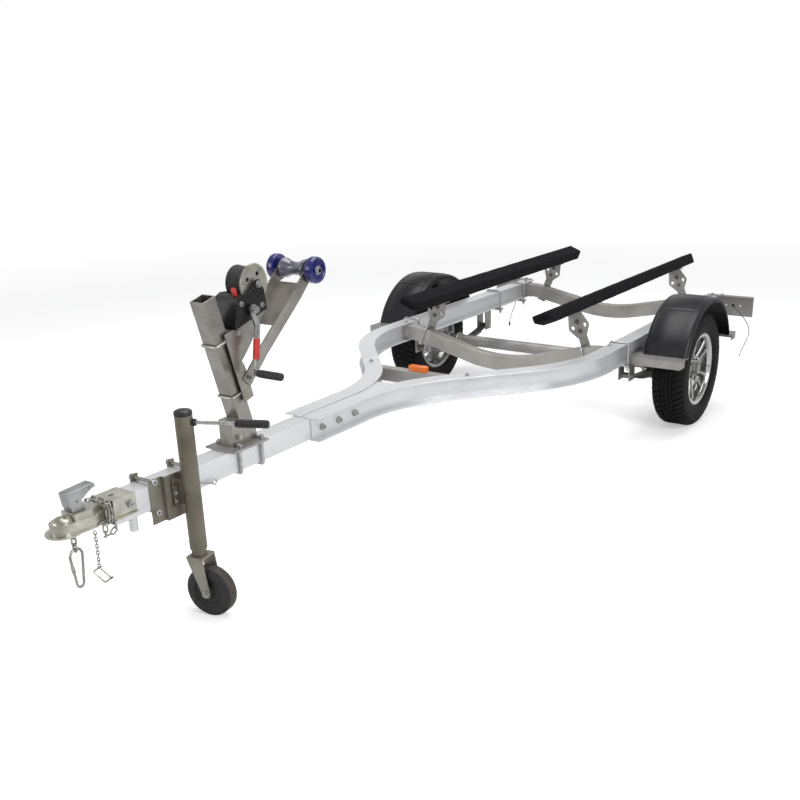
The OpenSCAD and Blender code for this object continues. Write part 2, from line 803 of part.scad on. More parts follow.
// A channel on the rear of the post, whose sides run out as gussets under the winch shelf
module winch_bracket() {
    wall = 5;
    rear = -post_w / 2 - fit;
    ear_y = arm_in_y - fit;
    low = 150;
    shelf_rear = -214;
    at_home() color("silver") post_frame() {
        box([rear - wall, -ear_y, low], [rear, ear_y, shelf_w]);
        for (y = [-ear_y, ear_y - wall]) translate([0, y, 0]) along_y(wall)
            polygon([[rear + 24, low], [rear - 24, low], [rear - 24, 270], [rear - 12, 305], [rear - 18, 340], [-150, 368], [shelf_rear, shelf_w - 12],
                [shelf_rear, shelf_w], [rear + 24, shelf_w]]);
        box([shelf_rear, -ear_y, shelf_w - wall], [rear, ear_y, shelf_w]);
    }
}

// ---- bow roller ----

arm_start_x = -78;
arm_start_w = 235;
arm_run = norm([roller_back + post_w / 2 + arm_start_x, roller_up - arm_start_w]);
arm_slope = atan2(roller_up - arm_start_w, roller_back + post_w / 2 + arm_start_x);

module arm_frame() {
    post_frame() translate([arm_start_x, 0, arm_start_w]) rotate([0, 180 + arm_slope, 0]) mirror([0, 0, 1]) children();
}

function arm_inner(s) = s < 80 ? arm_in_y : arm_in_y + (arm_out_y - arm_in_y) * (s - 80) / (arm_run - 110 - 80);

module arm_plan() {
    straight = arm_run - 110;
    arm_from = -48;
    polygon([[arm_from, arm_in_y], [80, arm_in_y], [straight, arm_out_y], [arm_run + 24, arm_out_y],
        [arm_run + 24, arm_out_y + arm_t], [straight, arm_out_y + arm_t], [80, arm_in_y + arm_t], [arm_from, arm_in_y + arm_t]]);
}

module roller_arms() {
    plate_from = 200;
    plate_to = 385;
    at_home() color("silver") difference() {
        arm_frame() {
            left_and_right() translate([0, 0, -arm_w / 2]) linear_extrude(arm_w) arm_plan();
            translate([0, 0, -arm_w / 2]) linear_extrude(4)
                polygon([[plate_from, -arm_inner(plate_from) - 1], [plate_from, arm_inner(plate_from) + 1],
                    [plate_to, arm_inner(plate_to) + 1], [plate_to, -arm_inner(plate_to) - 1]]);
        }
        roller_at() rod_y(0, 0, 8 + running, -shaft_half - 1, shaft_half + 1);
    }
}

module roller_at() {
    post_frame() translate([-roller_back - post_w / 2, 0, roller_up]) children();
}

module roller_shaft() {
    at_home() color("silver") roller_at() rod_y(0, 0, 8, -shaft_half, shaft_half);
}

module bow_roller() {
    half = arm_out_y - 6;
    at_home() color("midnightblue") roller_at() rotate([90, 0, 0]) rotate_extrude($fn = 64)
        polygon([[8 + running, -half], [36, -half], [36, -half + 14], [24, -12], [24, 12], [36, half - 14], [36, half], [8 + running, half]]);
}

module roller_discs() {
    inner = arm_out_y + arm_t + 5;
    disc_w = 30;
    at_home() color("mediumblue") roller_at() left_and_right() translate([0, inner, 0]) rotate([-90, 0, 0])
        rotate_extrude($fn = 64)
            polygon([[8 + running, 0], [disc_r - 4, 0], [disc_r, 4], [disc_r, disc_w - 6], [disc_r - 6, disc_w],
                [disc_r - 14, disc_w], [disc_r - 16, disc_w - 6], [18, disc_w - 6], [16, disc_w - 2], [8 + running, disc_w - 2]]);
}

// ---- winch ----

frame_left_y = 52;
frame_right_y = -46;
plate_t = 4;

// Side plate: its foot on the shelf, a slanted front and an ear up to the drum's shaft
module winch_cheek() {
    polygon([[-48, shelf_w + fit], [-51, shelf_w + 12], [-87, 484], [-97, 495], [-122, 499], [-152, 488],
        [drum_x + 15, drum_w + 6], [drum_x - 15, drum_w + 4], [-224, 470], [-214, shelf_w + fit]]);
    translate([drum_x, drum_w]) circle(r = 16);
}

// Folded cover between the side plates, up the front and rolled over the top
module winch_cover() {
    polygon([[-48, shelf_w + fit], [-51, shelf_w + 12], [-87, 484], [-97, 495], [-122, 499], [-122, 495],
        [-98, 491], [-90, 482], [-55, shelf_w + 12], [-52, shelf_w + fit + plate_t], [-214, shelf_w + fit + plate_t],
        [-214, shelf_w + fit]]);
}

module winch_frame() {
    at_home() color([0.1, 0.1, 0.1]) post_frame() difference() {
        union() {
            for (y = [frame_left_y, frame_right_y]) translate([0, y, 0]) along_y(plate_t) winch_cheek();
            translate([0, frame_right_y, 0]) along_y(frame_left_y + plate_t - frame_right_y) winch_cover();
            rod_y(drum_x, drum_w, 8, frame_right_y - 6, frame_left_y + plate_t + 6);
        }
        rod_y(crank_x, crank_w, 9 + running, frame_right_y - 1, frame_left_y + plate_t + 1);
    }
}

// Involute tooth: polar half angle of the flank at a radius, for a pitch radius and tooth count
pressure = 20;
function inv_at(r, base) = let(a = acos(min(1, base / r))) tan(a) * 180 / PI - a;
function flank(r, pitch, teeth, slack) = let(base = pitch * cos(pressure))
    90 / teeth - slack + inv_at(pitch, base) - inv_at(max(r, base), base);

module gear_outline(teeth, slack, add, ded) {
    pitch = gear_m * teeth / 2;
    outer = pitch + add * gear_m;
    root = pitch - ded * gear_m;
    steps = 5;
    radii = [for (i = [0:steps]) root + (outer - root) * i / steps];
    polygon([for (t = [0:teeth - 1]) each concat(
        [for (i = [0:steps]) let(a = t * 360 / teeth - flank(radii[i], pitch, teeth, slack)) radii[i] * [cos(a), sin(a)]],
        [for (i = [steps:-1:0]) let(a = t * 360 / teeth + flank(radii[i], pitch, teeth, slack)) radii[i] * [cos(a), sin(a)]])]);
}

gear_low_y = 35;
gear_t = 6;

module winch_gear() {
    at_home() color("silver") post_frame() translate([drum_x, gear_low_y, drum_w]) along_y(gear_t) difference() {
        rotate([0, 0, pinion_angle]) gear_outline(gear_teeth, 0.25, 0.75, 1.0);
        circle(r = 8 + running);
        for (a = [45:90:315]) rotate([0, 0, a]) translate([36, 0]) circle(r = 7);
    }
}

module winch_drum() {
    low = frame_right_y + plate_t + 5;
    at_home() color([0.12, 0.12, 0.12]) post_frame() translate([drum_x, low, drum_w]) rotate([-90, 0, 0])
        rotate_extrude($fn = 64)
            polygon([[8 + running, 0], [58, 0], [58, 3], [50, 3], [50, gear_low_y - low - fit], [8 + running, gear_low_y - low - fit]]);
}

crank_y = 86;
crank_root_y = 66;

module winch_crank() {
    arm_thick = 6;
    at_home() color("silver") post_frame() translate([crank_x, 0, crank_w]) {
        rod_y(0, 0, 9, frame_right_y - 5, crank_root_y + 12);
        translate([0, gear_low_y, 0]) along_y(gear_t)
            rotate([0, 0, pinion_angle + 180 + 180 / pinion_teeth]) gear_outline(pinion_teeth, 1.2, 0.75, 1.0);
        rotate([0, -crank_angle, 0]) {
            translate([0, 0, -12]) linear_extrude(24)
                polygon([[-14, crank_root_y], [20, crank_root_y], [52, crank_y], [crank_len + 12, crank_y],
                    [crank_len + 12, crank_y + arm_thick], [49, crank_y + arm_thick], [17, crank_root_y + arm_thick],
                    [-14, crank_root_y + arm_thick]]);
            rod_y(0, 0, 16, crank_root_y, crank_root_y + arm_thick);
            rod_y(crank_len, 0, 6, crank_y + 1, crank_y + 14);
        }
    }
}

module winch_grip() {
    at_home() color("black") post_frame() translate([crank_x, 0, crank_w]) rotate([0, -crank_angle, 0])
        rod_y(crank_len, 0, 14, crank_y + 14, crank_y + 122);
}

// ---- jockey wheel ----

mount_y = tube_w / 2 + fit;
mount_t = 4;
raised_y = mount_y + 18;
saddle_y = raised_y + 4;
pivot_r = 14;

// Hat-shaped plate on the drawbar's left side, with two long bolts over and under it to clamp bars on the right
module jockey_mount() {
    low = tube_bottom - 50;
    top = tube_top + 19;
    fold_rear = jockey_x - 40;
    fold_front = jockey_x + 68;
    bolts_x = [jockey_x - 56, jockey_x + 100];
    at_home() color("silver") {
        translate([0, 0, low]) linear_extrude(top - low)
            polygon([[jockey_x - 74, mount_y], [fold_rear + mount_t, mount_y], [fold_rear + mount_t, raised_y - mount_t],
                [fold_front - mount_t, raised_y - mount_t], [fold_front - mount_t, mount_y], [jockey_x + 118, mount_y],
                [jockey_x + 118, mount_y + mount_t], [fold_front, mount_y + mount_t], [fold_front, raised_y],
                [fold_rear, raised_y], [fold_rear, mount_y + mount_t], [jockey_x - 74, mount_y + mount_t]]);
        rod_y(jockey_x, rail_mid, pivot_r, raised_y - 1, raised_y + 16);
        for (x = bolts_x) {
            box([x - 14, -mount_y - 8, tube_bottom - 22], [x + 14, -mount_y, tube_top + 22]);
            for (z = [tube_bottom - 11, tube_top + 11]) rod_y(x, z, 6, -mount_y - 14, mount_y + mount_t + 9);
        }
    }
}

// Swivel plate that turns on the mount's pivot, with a block that grips the outer tube
module jockey_saddle() {
    plate_w = 5;
    at_home() color("darkkhaki") difference() {
        union() {
            box([jockey_x - 34, saddle_y, rail_mid - 46], [jockey_x + 44, saddle_y + plate_w, rail_mid + 46]);
            box([jockey_x - 26, saddle_y + 1, rail_mid - 40], [jockey_x + 26, leg_y - 4, rail_mid + 40]);
        }
        rod_y(jockey_x, rail_mid, pivot_r + running, saddle_y - 1, raised_y + 17);
        translate([jockey_x, leg_y, rail_mid - 60]) cylinder(r = leg_outer_r + fit, h = 120);
        rod_y(jockey_x + 35, rail_mid + 26, 5, saddle_y - 1, saddle_y + plate_w + 1);
    }
}

module jockey_tube() {
    at_home() color("darkkhaki") translate([jockey_x, leg_y, leg_low_z]) difference() {
        cylinder(r = leg_outer_r, h = leg_top_z - leg_low_z);
        translate([0, 0, -1]) cylinder(r = leg_inner_r + 0.5, h = leg_top_z - leg_low_z + 2);
    }
}

module jockey_cap() {
    at_home() color("black") translate([jockey_x, leg_y, leg_top_z + fit]) {
        cylinder(r = leg_outer_r + 0.5, h = 14);
        translate([0, 0, 14]) cylinder(r1 = leg_outer_r + 0.5, r2 = leg_outer_r - 5, h = 5);
    }
}

module jockey_crank() {
    crank_dir = 114;
    at_home() translate([jockey_x, leg_y, leg_top_z - 24]) rotate([0, 0, crank_dir]) {
        color("silver") along_crank(leg_outer_r + fit, 12, 12);
        color("silver") along_crank(leg_outer_r + fit + 12, 6, 128);
        color("black") along_crank(leg_outer_r + fit + 140, 14, 108);
    }
}

module along_crank(start, r, length) {
    translate([start, 0, 0]) rotate([0, 90, 0]) cylinder(r = r, h = length);
}

module jockey_leg() {
    at_home() color("darkkhaki") translate([jockey_x, leg_y, crown_z + crown_t + fit])
        cylinder(r = leg_inner_r, h = leg_top_z - crown_z - 60);
}

module caster_frame() {
    translate([jockey_x, leg_y, 0]) rotate([0, 0, caster_turn]) children();
}

// Fork: crown under the leg and two side plates down to the wheel's axle
module jockey_fork() {
    side_t = 4;
    at_home() color("darkkhaki") caster_frame() {
        box([-fork_gap - side_t, -28, crown_z], [fork_gap + side_t, 34, crown_z + crown_t]);
        for (side = [-1, 1]) translate([side * (fork_gap + side_t / 2) - side_t / 2, 0, 0])
            rotate([90, 0, 90]) linear_extrude(side_t) union() {
                polygon([[-28, crown_z], [34, crown_z], [jockey_trail + 16, jockey_r], [jockey_trail - 16, jockey_r]]);
                translate([jockey_trail, jockey_r]) circle(r = 16);
            }
        translate([-fork_gap - side_t - 7, jockey_trail, jockey_r]) rotate([0, 90, 0]) cylinder(r = 6, h = 2 * (fork_gap + side_t + 7));
    }
}

module jockey_wheel() {
    half = jockey_w / 2;
    at_home() color([0.15, 0.14, 0.13]) caster_frame() translate([0, jockey_trail, jockey_r]) rotate([0, 90, 0])
        rotate_extrude($fn = 72)
            polygon([[6 + running, -half - 3], [18, -half - 3], [20, -half + 7], [50, -half + 7], [54, -half],
                [jockey_r - 8, -half], [jockey_r, -half + 8], [jockey_r, half - 8], [jockey_r - 8, half],
                [54, half], [50, half - 7], [20, half - 7], [18, half + 3], [6 + running, half + 3]]);
}

drawbar();
rail_left();
rail_right();
neck_member();
marker_lamp();
front_cross_member();
rear_cross_member();
axle_beam();
leaf_springs();
spring_hangers();
spring_plates();
fender_left();
fender_right();
front_steps();
rear_steps();
lamp_bracket_left();
lamp_bracket_right();
grommets();
wire_left();
wire_right();
wire_plug();
bunk_bars();
bunk_heads();
bunk_left();
bunk_right();
coupler();
coupler_latch();
safety_chain();
snap_hook();
winch_base();
winch_post();
post_brace();
winch_bracket();
roller_arms();
roller_shaft();
bow_roller();
roller_discs();
winch_frame();
winch_gear();
winch_drum();
winch_crank();
winch_grip();
jockey_mount();
jockey_saddle();
jockey_tube();
jockey_cap();
jockey_crank();
jockey_leg();
jockey_fork();
jockey_wheel();
hub_left();
hub_right();
rim_left();
rim_right();
tyre_left();
tyre_right();
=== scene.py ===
# %% [markdown]
# # A boat trailer, finished piece by piece
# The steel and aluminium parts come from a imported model, already at their real size and place.
# This lesson gives each of them a real surface, and adds what a workshop would add: bolts,
# U-bolts, chain, carpet, tread and wires. Lengths are metres, +X points to the coupler.

# %% Load the frame
import json
import math

import bmesh
import bpy
from mathutils import Matrix, Vector
from mathutils.bvhtree import BVHTree

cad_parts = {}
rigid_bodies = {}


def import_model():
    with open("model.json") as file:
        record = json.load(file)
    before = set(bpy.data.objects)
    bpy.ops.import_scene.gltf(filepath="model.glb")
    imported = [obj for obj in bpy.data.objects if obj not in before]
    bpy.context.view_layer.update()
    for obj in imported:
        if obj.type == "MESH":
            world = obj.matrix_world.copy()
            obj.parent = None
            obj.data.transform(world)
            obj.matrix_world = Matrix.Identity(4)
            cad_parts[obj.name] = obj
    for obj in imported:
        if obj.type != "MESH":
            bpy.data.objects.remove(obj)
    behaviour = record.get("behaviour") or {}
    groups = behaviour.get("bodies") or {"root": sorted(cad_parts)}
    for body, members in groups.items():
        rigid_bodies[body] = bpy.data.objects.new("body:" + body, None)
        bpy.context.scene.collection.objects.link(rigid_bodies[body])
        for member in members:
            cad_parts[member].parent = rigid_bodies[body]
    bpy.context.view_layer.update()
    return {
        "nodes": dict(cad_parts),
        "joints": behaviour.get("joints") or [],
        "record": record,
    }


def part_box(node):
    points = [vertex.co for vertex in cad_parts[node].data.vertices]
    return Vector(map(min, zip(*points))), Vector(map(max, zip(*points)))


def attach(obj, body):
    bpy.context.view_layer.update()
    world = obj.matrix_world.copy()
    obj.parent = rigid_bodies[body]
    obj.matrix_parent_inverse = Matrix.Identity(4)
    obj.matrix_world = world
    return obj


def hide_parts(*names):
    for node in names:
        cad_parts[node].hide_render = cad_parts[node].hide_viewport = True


for leftover in list(bpy.data.objects):
    bpy.data.objects.remove(leftover)
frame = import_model()
nodes = frame["nodes"]
joints = {joint["name"]: joint for joint in frame["joints"]}
body_of_node = {node: body for body, names in frame["record"]["behaviour"]["bodies"].items() for node in names}
slot_of_node = {part["node"]: part["material_slot"] for part in frame["record"]["subparts"]}
scene = bpy.context.scene
print("nodes in the frame:", len(nodes))

# %% [markdown]
# ## Places to hang things on
# The workshop measures a trailer from its axle, so `at` takes a point measured from the axle's
# line on the ground. The winch post leans, so `on_post` takes a point measured along and across it.

# %% Named places


def pivot(name):
    """The point that a joint turns about."""
    return Vector(joints[name]["pos_m"])


axle_x, wheel_y, axle_z = pivot("wheel_left_spin")
rail_low, rail_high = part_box("rail_left")
bar_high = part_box("drawbar")[1]
tube_top = bar_high.z
tube_half = bar_high.y
tube_low = tube_top - 2 * tube_half
rail_mid = (rail_low.z + rail_high.z) / 2
rail_half_width, nose_past_ball = 0.039, 0.054
rail_y = rail_high.y - rail_half_width
ball_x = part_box("coupler")[1].x - nose_past_ball - axle_x
base_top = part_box("winch_base")[1].z
post_x, post_lean = 2.353, math.radians(15)


def at(x, y, z):
    """A point measured from the ground under the middle of the axle."""
    return Vector((axle_x + x, y, z))


def reach_of(name):
    """How far back and how far ahead of the axle a part reaches."""
    low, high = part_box(name)
    return low.x - axle_x, high.x - axle_x


def aside(point, y):
    return point + Vector((0, y, 0))


def on_post(x, y, w):
    """A point measured ahead of the post's middle line, sideways, and up along the post."""
    lean_x = x * math.cos(post_lean) + w * math.sin(post_lean)
    lean_z = -x * math.sin(post_lean) + w * math.cos(post_lean)
    return at(post_x + lean_x, y, base_top + lean_z)


both_sides = (1, -1)
named_sides = ((1, "left"), (-1, "right"))
up, down = (0, 0, 1), (0, 0, -1)
forward, rearward = (1, 0, 0), (-1, 0, 0)
leftward, rightward = (0, 1, 0), (0, -1, 0)
print("the axle is", round(axle_z, 4), "m up, and the ball is", round(ball_x, 3), "m ahead of it")

# %% [markdown]
# ## The camera
# A long view from ahead of the left wheel, a little above the winch. The lens is slightly long,
# and it is shifted rather than tilted, so that upright posts stay nearly upright.

# %% Camera


def linked(name, data):
    """A new object in the scene, at the origin."""
    obj = bpy.data.objects.new(name, data)
    scene.collection.objects.link(obj)
    return obj


camera_place = at(4.7756, 2.3782, 1.6015)
view_heading = math.radians(213.8)
view_pitch = math.radians(-21.49)
view_roll = math.radians(-1.51)
camera_data = bpy.data.cameras.new("camera")
camera_data.sensor_width = 36.0
camera_data.lens = 44.85
camera_data.shift_x = -0.0322
camera_data.shift_y = 0.1064
camera_data.clip_end = 200.0
camera = linked("camera", camera_data)
turn = Matrix.Rotation(view_heading - math.pi / 2, 4, "Z") @ Matrix.Rotation(math.pi / 2 + view_pitch, 4, "X")
camera.matrix_world = Matrix.Translation(camera_place) @ turn @ Matrix.Rotation(view_roll, 4, "Z")
scene.camera = camera
print("camera lens:", camera_data.lens, "mm")

# %% [markdown]
# ## Small helpers for node trees
# Shader trees and geometry trees are wired the same way, so one helper adds a node, sets what
# isn't a socket by name, and joins or fills its inputs.

# %% Node helper


def node(tree, kind, inputs=None, **settings):
    made = tree.nodes.new(kind)
    for name, value in settings.items():
        setattr(made, name, value)
    for name, value in (inputs or {}).items():
        if isinstance(value, bpy.types.NodeSocket):
            tree.links.new(value, made.inputs[name])
        else:
            made.inputs[name].default_value = value
    return made


def maths(tree, operation, first, second):
    return node(tree, "ShaderNodeMath", {0: first, 1: second}, operation=operation).outputs[0]


def ranged(tree, value, start, end, low=0.0, high=1.0, **settings):
    """Moves a value from one range to another."""
    limits = {"Value": value, "From Min": start, "From Max": end, "To Min": low, "To Max": high}
    return node(tree, "ShaderNodeMapRange", limits, **settings).outputs["Result"]


def object_space(tree):
    return node(tree, "ShaderNodeTexCoord").outputs["Object"]


# %% [markdown]
# ## Finishes
# Nothing on a trailer has one flat colour. Each finish starts from a cloudy noise that moves
# between two close colours, a second noise that moves the roughness, and a fine relief that
# catches the light. Stretching the noise along one axis turns it into the lines of extruded
# or brushed metal. The patterns read Object coordinates, so they are in metres.

# %% Finish helpers
noise_low, noise_high = 0.3, 0.7


def noise(tree, space, scale, detail):
    return node(tree, "ShaderNodeTexNoise", {"Vector": space, "Scale": scale, "Detail": detail}).outputs["Fac"]


def colours(tree, factor, stops):
    ramp = node(tree, "ShaderNodeValToRGB", {"Fac": factor})
    for index, (position, colour) in enumerate(stops):
        stop = ramp.color_ramp.elements[index] if index < 2 else ramp.color_ramp.elements.new(position)
        stop.position = position
        stop.color = (*colour, 1.0)
    return ramp.outputs["Color"]


def blended(tree, factor, first, second):
    """Mixes two colours, each a socket or three numbers."""
    mix = tree.nodes.new("ShaderNodeMix")
    mix.data_type = "RGBA"
    tree.links.new(factor, mix.inputs["Factor"])
    for socket, value in ((mix.inputs[6], first), (mix.inputs[7], second)):
        if isinstance(value, bpy.types.NodeSocket):
            tree.links.new(value, socket)
        else:
            socket.default_value = (*value, 1.0)
    return mix.outputs[2]


def finish(name, dark, light, rough=(0.3, 0.5), metallic=0.0, cloud=6.0, stretch=(1, 1, 1), grain=400.0,
           relief=0.05, depth=0.0004, **shader):
    """A material whose colour drifts from dark to light, with a finer noise in its roughness and relief."""
    material = bpy.data.materials.new(name)
    material.use_nodes = True
    tree = material.node_tree
    skin = tree.nodes["Principled BSDF"]
    lined = node(tree, "ShaderNodeMapping", {"Vector": object_space(tree), "Scale": stretch}).outputs["Vector"]
    clouds = noise(tree, lined, cloud, 6.0)
    fine = noise(tree, lined, grain, 3.0)
    tree.links.new(colours(tree, clouds, [(noise_low, dark), (noise_high, light)]), skin.inputs["Base Color"])
    tree.links.new(ranged(tree, fine, noise_low, noise_high, *rough), skin.inputs["Roughness"])
    bump = node(tree, "ShaderNodeBump", {"Height": fine, "Strength": relief, "Distance": depth})
    tree.links.new(bump.outputs["Normal"], skin.inputs["Normal"])
    skin.inputs["Metallic"].default_value = metallic
    for socket, value in shader.items():
        skin.inputs[socket.replace("_", " ")].default_value = value
    return material


def over_base(material, factor_of, colour):
    """Lays a second colour over the first wherever factor_of(tree, object space) says."""
    tree = material.node_tree
    skin = tree.nodes["Principled BSDF"]
    first = skin.inputs["Base Color"].links[0].from_socket
    tree.links.new(blended(tree, factor_of(tree, object_space(tree)), first, colour), skin.inputs["Base Color"])
    return material


def specks(scale, amount):
    """Small separate spots: the peaks of a noise."""
    def factor(tree, space):
        return ranged(tree, noise(tree, space, scale, 5.0), 0.74 - amount, 0.80 - amount)
    return factor


# %% [markdown]
# ### Metals
# Mill-finish aluminium is nearly white and carries long die lines. Galvanised steel is duller
# and warmer, with a crystal mottle that a Voronoi texture gives. Zinc plating is brighter with
# a trace of yellow. The cast and brushed parts of the winch post have a fine speckle.

# %% Metal finishes


def crystals(tree, space):
    """The faint cells of zinc that froze on the steel."""
    cells = node(tree, "ShaderNodeTexVoronoi", {"Vector": space, "Scale": 70.0})
    return ranged(tree, cells.outputs["Color"], 0.0, 1.0, 0.0, 0.16)


def galvanised_finish(name, dark, light):
    plain = finish(name, dark, light, rough=(0.38, 0.58), metallic=0.75, cloud=9.0, grain=260.0, relief=0.08)
    return over_base(plain, crystals, dark)


bright_aluminium = finish("bright_aluminium", (0.66, 0.668, 0.685), (0.75, 0.757, 0.772), rough=(0.30, 0.38),
                          metallic=0.5, cloud=3.0, stretch=(0.6, 6, 6), grain=60.0, relief=0.015)
brushed_aluminium = over_base(
    finish("brushed_aluminium", (0.27, 0.252, 0.226), (0.40, 0.384, 0.358), rough=(0.24, 0.42), metallic=0.9,
           cloud=14.0, grain=700.0, relief=0.14), specks(260.0, 0.13), (0.50, 0.50, 0.50))
galvanised = galvanised_finish("galvanised", (0.28, 0.271, 0.253), (0.42, 0.41, 0.392))
cast_aluminium = galvanised_finish("cast_aluminium", (0.34, 0.325, 0.30), (0.47, 0.452, 0.425))
dull_steel = galvanised_finish("dull_steel", (0.12, 0.12, 0.12), (0.22, 0.215, 0.21))
bronzed_steel = galvanised_finish("bronzed_steel", (0.20, 0.185, 0.15), (0.36, 0.34, 0.29))
zinc = finish("zinc_plate", (0.40, 0.392, 0.335), (0.60, 0.59, 0.52), rough=(0.28, 0.40), metallic=0.92,
              cloud=26.0, grain=1200.0, relief=0.02)
chain_zinc = finish("chain_zinc", (0.24, 0.24, 0.22), (0.50, 0.49, 0.455), rough=(0.2, 0.36), metallic=0.9,
                    cloud=90.0, grain=900.0)
lever_zinc = finish("lever_zinc", (0.29, 0.30, 0.305), (0.43, 0.44, 0.44), rough=(0.26, 0.40), metallic=0.9,
                    cloud=24.0, grain=1200.0, relief=0.02)
bolt_zinc = finish("bolt_zinc", (0.34, 0.34, 0.33), (0.56, 0.56, 0.55), rough=(0.18, 0.36), metallic=0.9,
                   cloud=60.0, grain=900.0)
chrome = finish("chrome", (0.42, 0.42, 0.415), (0.58, 0.58, 0.575), rough=(0.06, 0.14), metallic=1.0,
                cloud=10.0, grain=200.0, relief=0.01)
wheel_silver = finish("wheel_silver", (0.24, 0.24, 0.235), (0.38, 0.38, 0.375), rough=(0.16, 0.30), metallic=0.85,
                      cloud=12.0, grain=900.0, relief=0.03, Coat_Weight=0.3)
print("metal finishes made:", len(bpy.data.materials))

# %% [markdown]
# ### Paint, plastic and rubber
# The jockey leg has a satin olive grey paint with rust showing through at small chips. The
# winch case is black enamel. Rubber and moulded plastic aren't metallic: their look is
# a low sheen and a soft relief, with a little grey dust.

# %% Paint, plastic and rubber finishes
jockey_paint = over_base(
    finish("jockey_paint", (0.135, 0.120, 0.088), (0.21, 0.19, 0.146), rough=(0.32, 0.5), metallic=0.45,
           cloud=9.0, grain=350.0, relief=0.08), specks(48.0, 0.09), (0.17, 0.095, 0.05))
black_enamel = finish("black_enamel", (0.004, 0.004, 0.0045), (0.009, 0.009, 0.0095), rough=(0.25, 0.42), cloud=12.0,
                      grain=500.0, relief=0.06, Coat_Weight=0.2, Coat_Roughness=0.25, Specular_IOR_Level=0.3)
black_plastic = finish("black_plastic", (0.008, 0.008, 0.0085), (0.017, 0.017, 0.018), rough=(0.35, 0.5),
                       cloud=16.0, grain=900.0)
fender_plastic = finish("fender_plastic", (0.006, 0.006, 0.008), (0.012, 0.012, 0.015), rough=(0.30, 0.42),
                        cloud=4.0, grain=1100.0, relief=0.16, Specular_IOR_Level=0.35)
soft_rubber = finish("soft_rubber", (0.008, 0.008, 0.008), (0.018, 0.018, 0.017), rough=(0.5, 0.7),
                     cloud=22.0, grain=800.0)
tyre_rubber = over_base(
    finish("tyre_rubber", (0.004, 0.004, 0.004), (0.009, 0.0088, 0.0085), rough=(0.55, 0.75), cloud=14.0, grain=600.0,
           relief=0.12, Specular_IOR_Level=0.16), specks(40.0, 0.06), (0.016, 0.015, 0.013))
jockey_rubber = over_base(
    finish("jockey_rubber", (0.030, 0.026, 0.022), (0.065, 0.057, 0.048), rough=(0.55, 0.8), cloud=26.0, grain=500.0,
           relief=0.2), specks(150.0, 0.12), (0.13, 0.115, 0.10))
roller_blue = finish("roller_blue", (0.008, 0.010, 0.105), (0.014, 0.018, 0.17), rough=(0.16, 0.28), cloud=20.0,
                     grain=300.0, Coat_Weight=0.5, Coat_Roughness=0.12, Subsurface_Weight=0.1)
roller_smoke = finish("roller_smoke", (0.065, 0.062, 0.11), (0.26, 0.255, 0.33), rough=(0.12, 0.3), cloud=16.0,
                      grain=60.0, relief=0.25, depth=0.002, Coat_Weight=0.8, Coat_Roughness=0.06,
                      Transmission_Weight=0.25)
lamp_orange = finish("lamp_orange", (0.86, 0.16, 0.015), (0.98, 0.25, 0.03), rough=(0.12, 0.2), cloud=30.0,
                     grain=250.0, Coat_Weight=0.6, Coat_Roughness=0.05, Subsurface_Weight=0.2)
signal_red = finish("signal_red", (0.50, 0.025, 0.02), (0.66, 0.045, 0.035), rough=(0.25, 0.4), cloud=40.0, grain=400.0)
print("metals, paints, plastics and rubbers made:", len(bpy.data.materials))

# %% [markdown]
# ### Carpet and webbing
# Bunk carpet is a short needled pile: a fine noise gives its tufts, a slower one its rubbed
# paler streaks, and sheen gives the soft edge light. Winch webbing is woven, so two crossed
# waves raise the yarns.

# %% Textile finishes
carpet = over_base(
    finish("carpet", (0.0035, 0.0035, 0.0042), (0.010, 0.010, 0.012), rough=(0.85, 1.0), cloud=45.0, grain=900.0,
           relief=0.9, depth=0.0025, Sheen_Weight=0.03, Sheen_Roughness=0.5, Specular_IOR_Level=0.1),
    specks(1200.0, 0.14), (0.022, 0.022, 0.024))


def webbing_finish():
    """Two crossed waves raise the yarns, in place of the fine noise."""
    material = finish("webbing", (0.016, 0.016, 0.017), (0.034, 0.034, 0.036), rough=(0.6, 0.8),
                      cloud=60.0, grain=900.0)
    tree = material.node_tree
    space = object_space(tree)
    across = node(tree, "ShaderNodeTexWave", {"Vector": space, "Scale": 110.0}, bands_direction="Y")
    along = node(tree, "ShaderNodeTexWave", {"Vector": space, "Scale": 160.0}, bands_direction="DIAGONAL")
    weave = maths(tree, "ADD", across.outputs["Fac"], along.outputs["Fac"])
    bump = node(tree, "ShaderNodeBump", {"Height": weave, "Strength": 0.5, "Distance": 0.0008})
    tree.links.new(bump.outputs["Normal"], tree.nodes["Principled BSDF"].inputs["Normal"])
    return material


webbing = webbing_finish()
print("all finishes made:", len(bpy.data.materials))

# %% [markdown]
# ## Shapes as plain lists
# A shape here is a list of corner points and a list of faces. Small functions make swept bars,
# turned rings and lofted sections, and `piece` turns joined shapes into one finished object
# whose place is in its mesh.

# %% Shape helpers


def joined(shapes):
    """Several shapes as one list of points and one of faces."""
    points, faces = [], []
    for shape_points, shape_faces in shapes:
        start = len(points)
        points += shape_points
        faces += [tuple(start + corner for corner in face) for face in shape_faces]
    return points, faces


def lofted(rings, closed=False):
    """Skins rings of equal length, and caps both ends unless the rings come back round."""
    count = len(rings[0])
    points = [Vector(point) for ring in rings for point in ring]
    faces = []
    for i in range(len(rings) if closed else len(rings) - 1):
        a, b = i * count, (i + 1) % len(rings) * count
        faces += [(a + k, a + (k + 1) % count, b + (k + 1) % count, b + k) for k in range(count)]
    if not closed:
        faces += [tuple(reversed(range(count))), tuple(range(len(points) - count, len(points)))]
    return points, faces


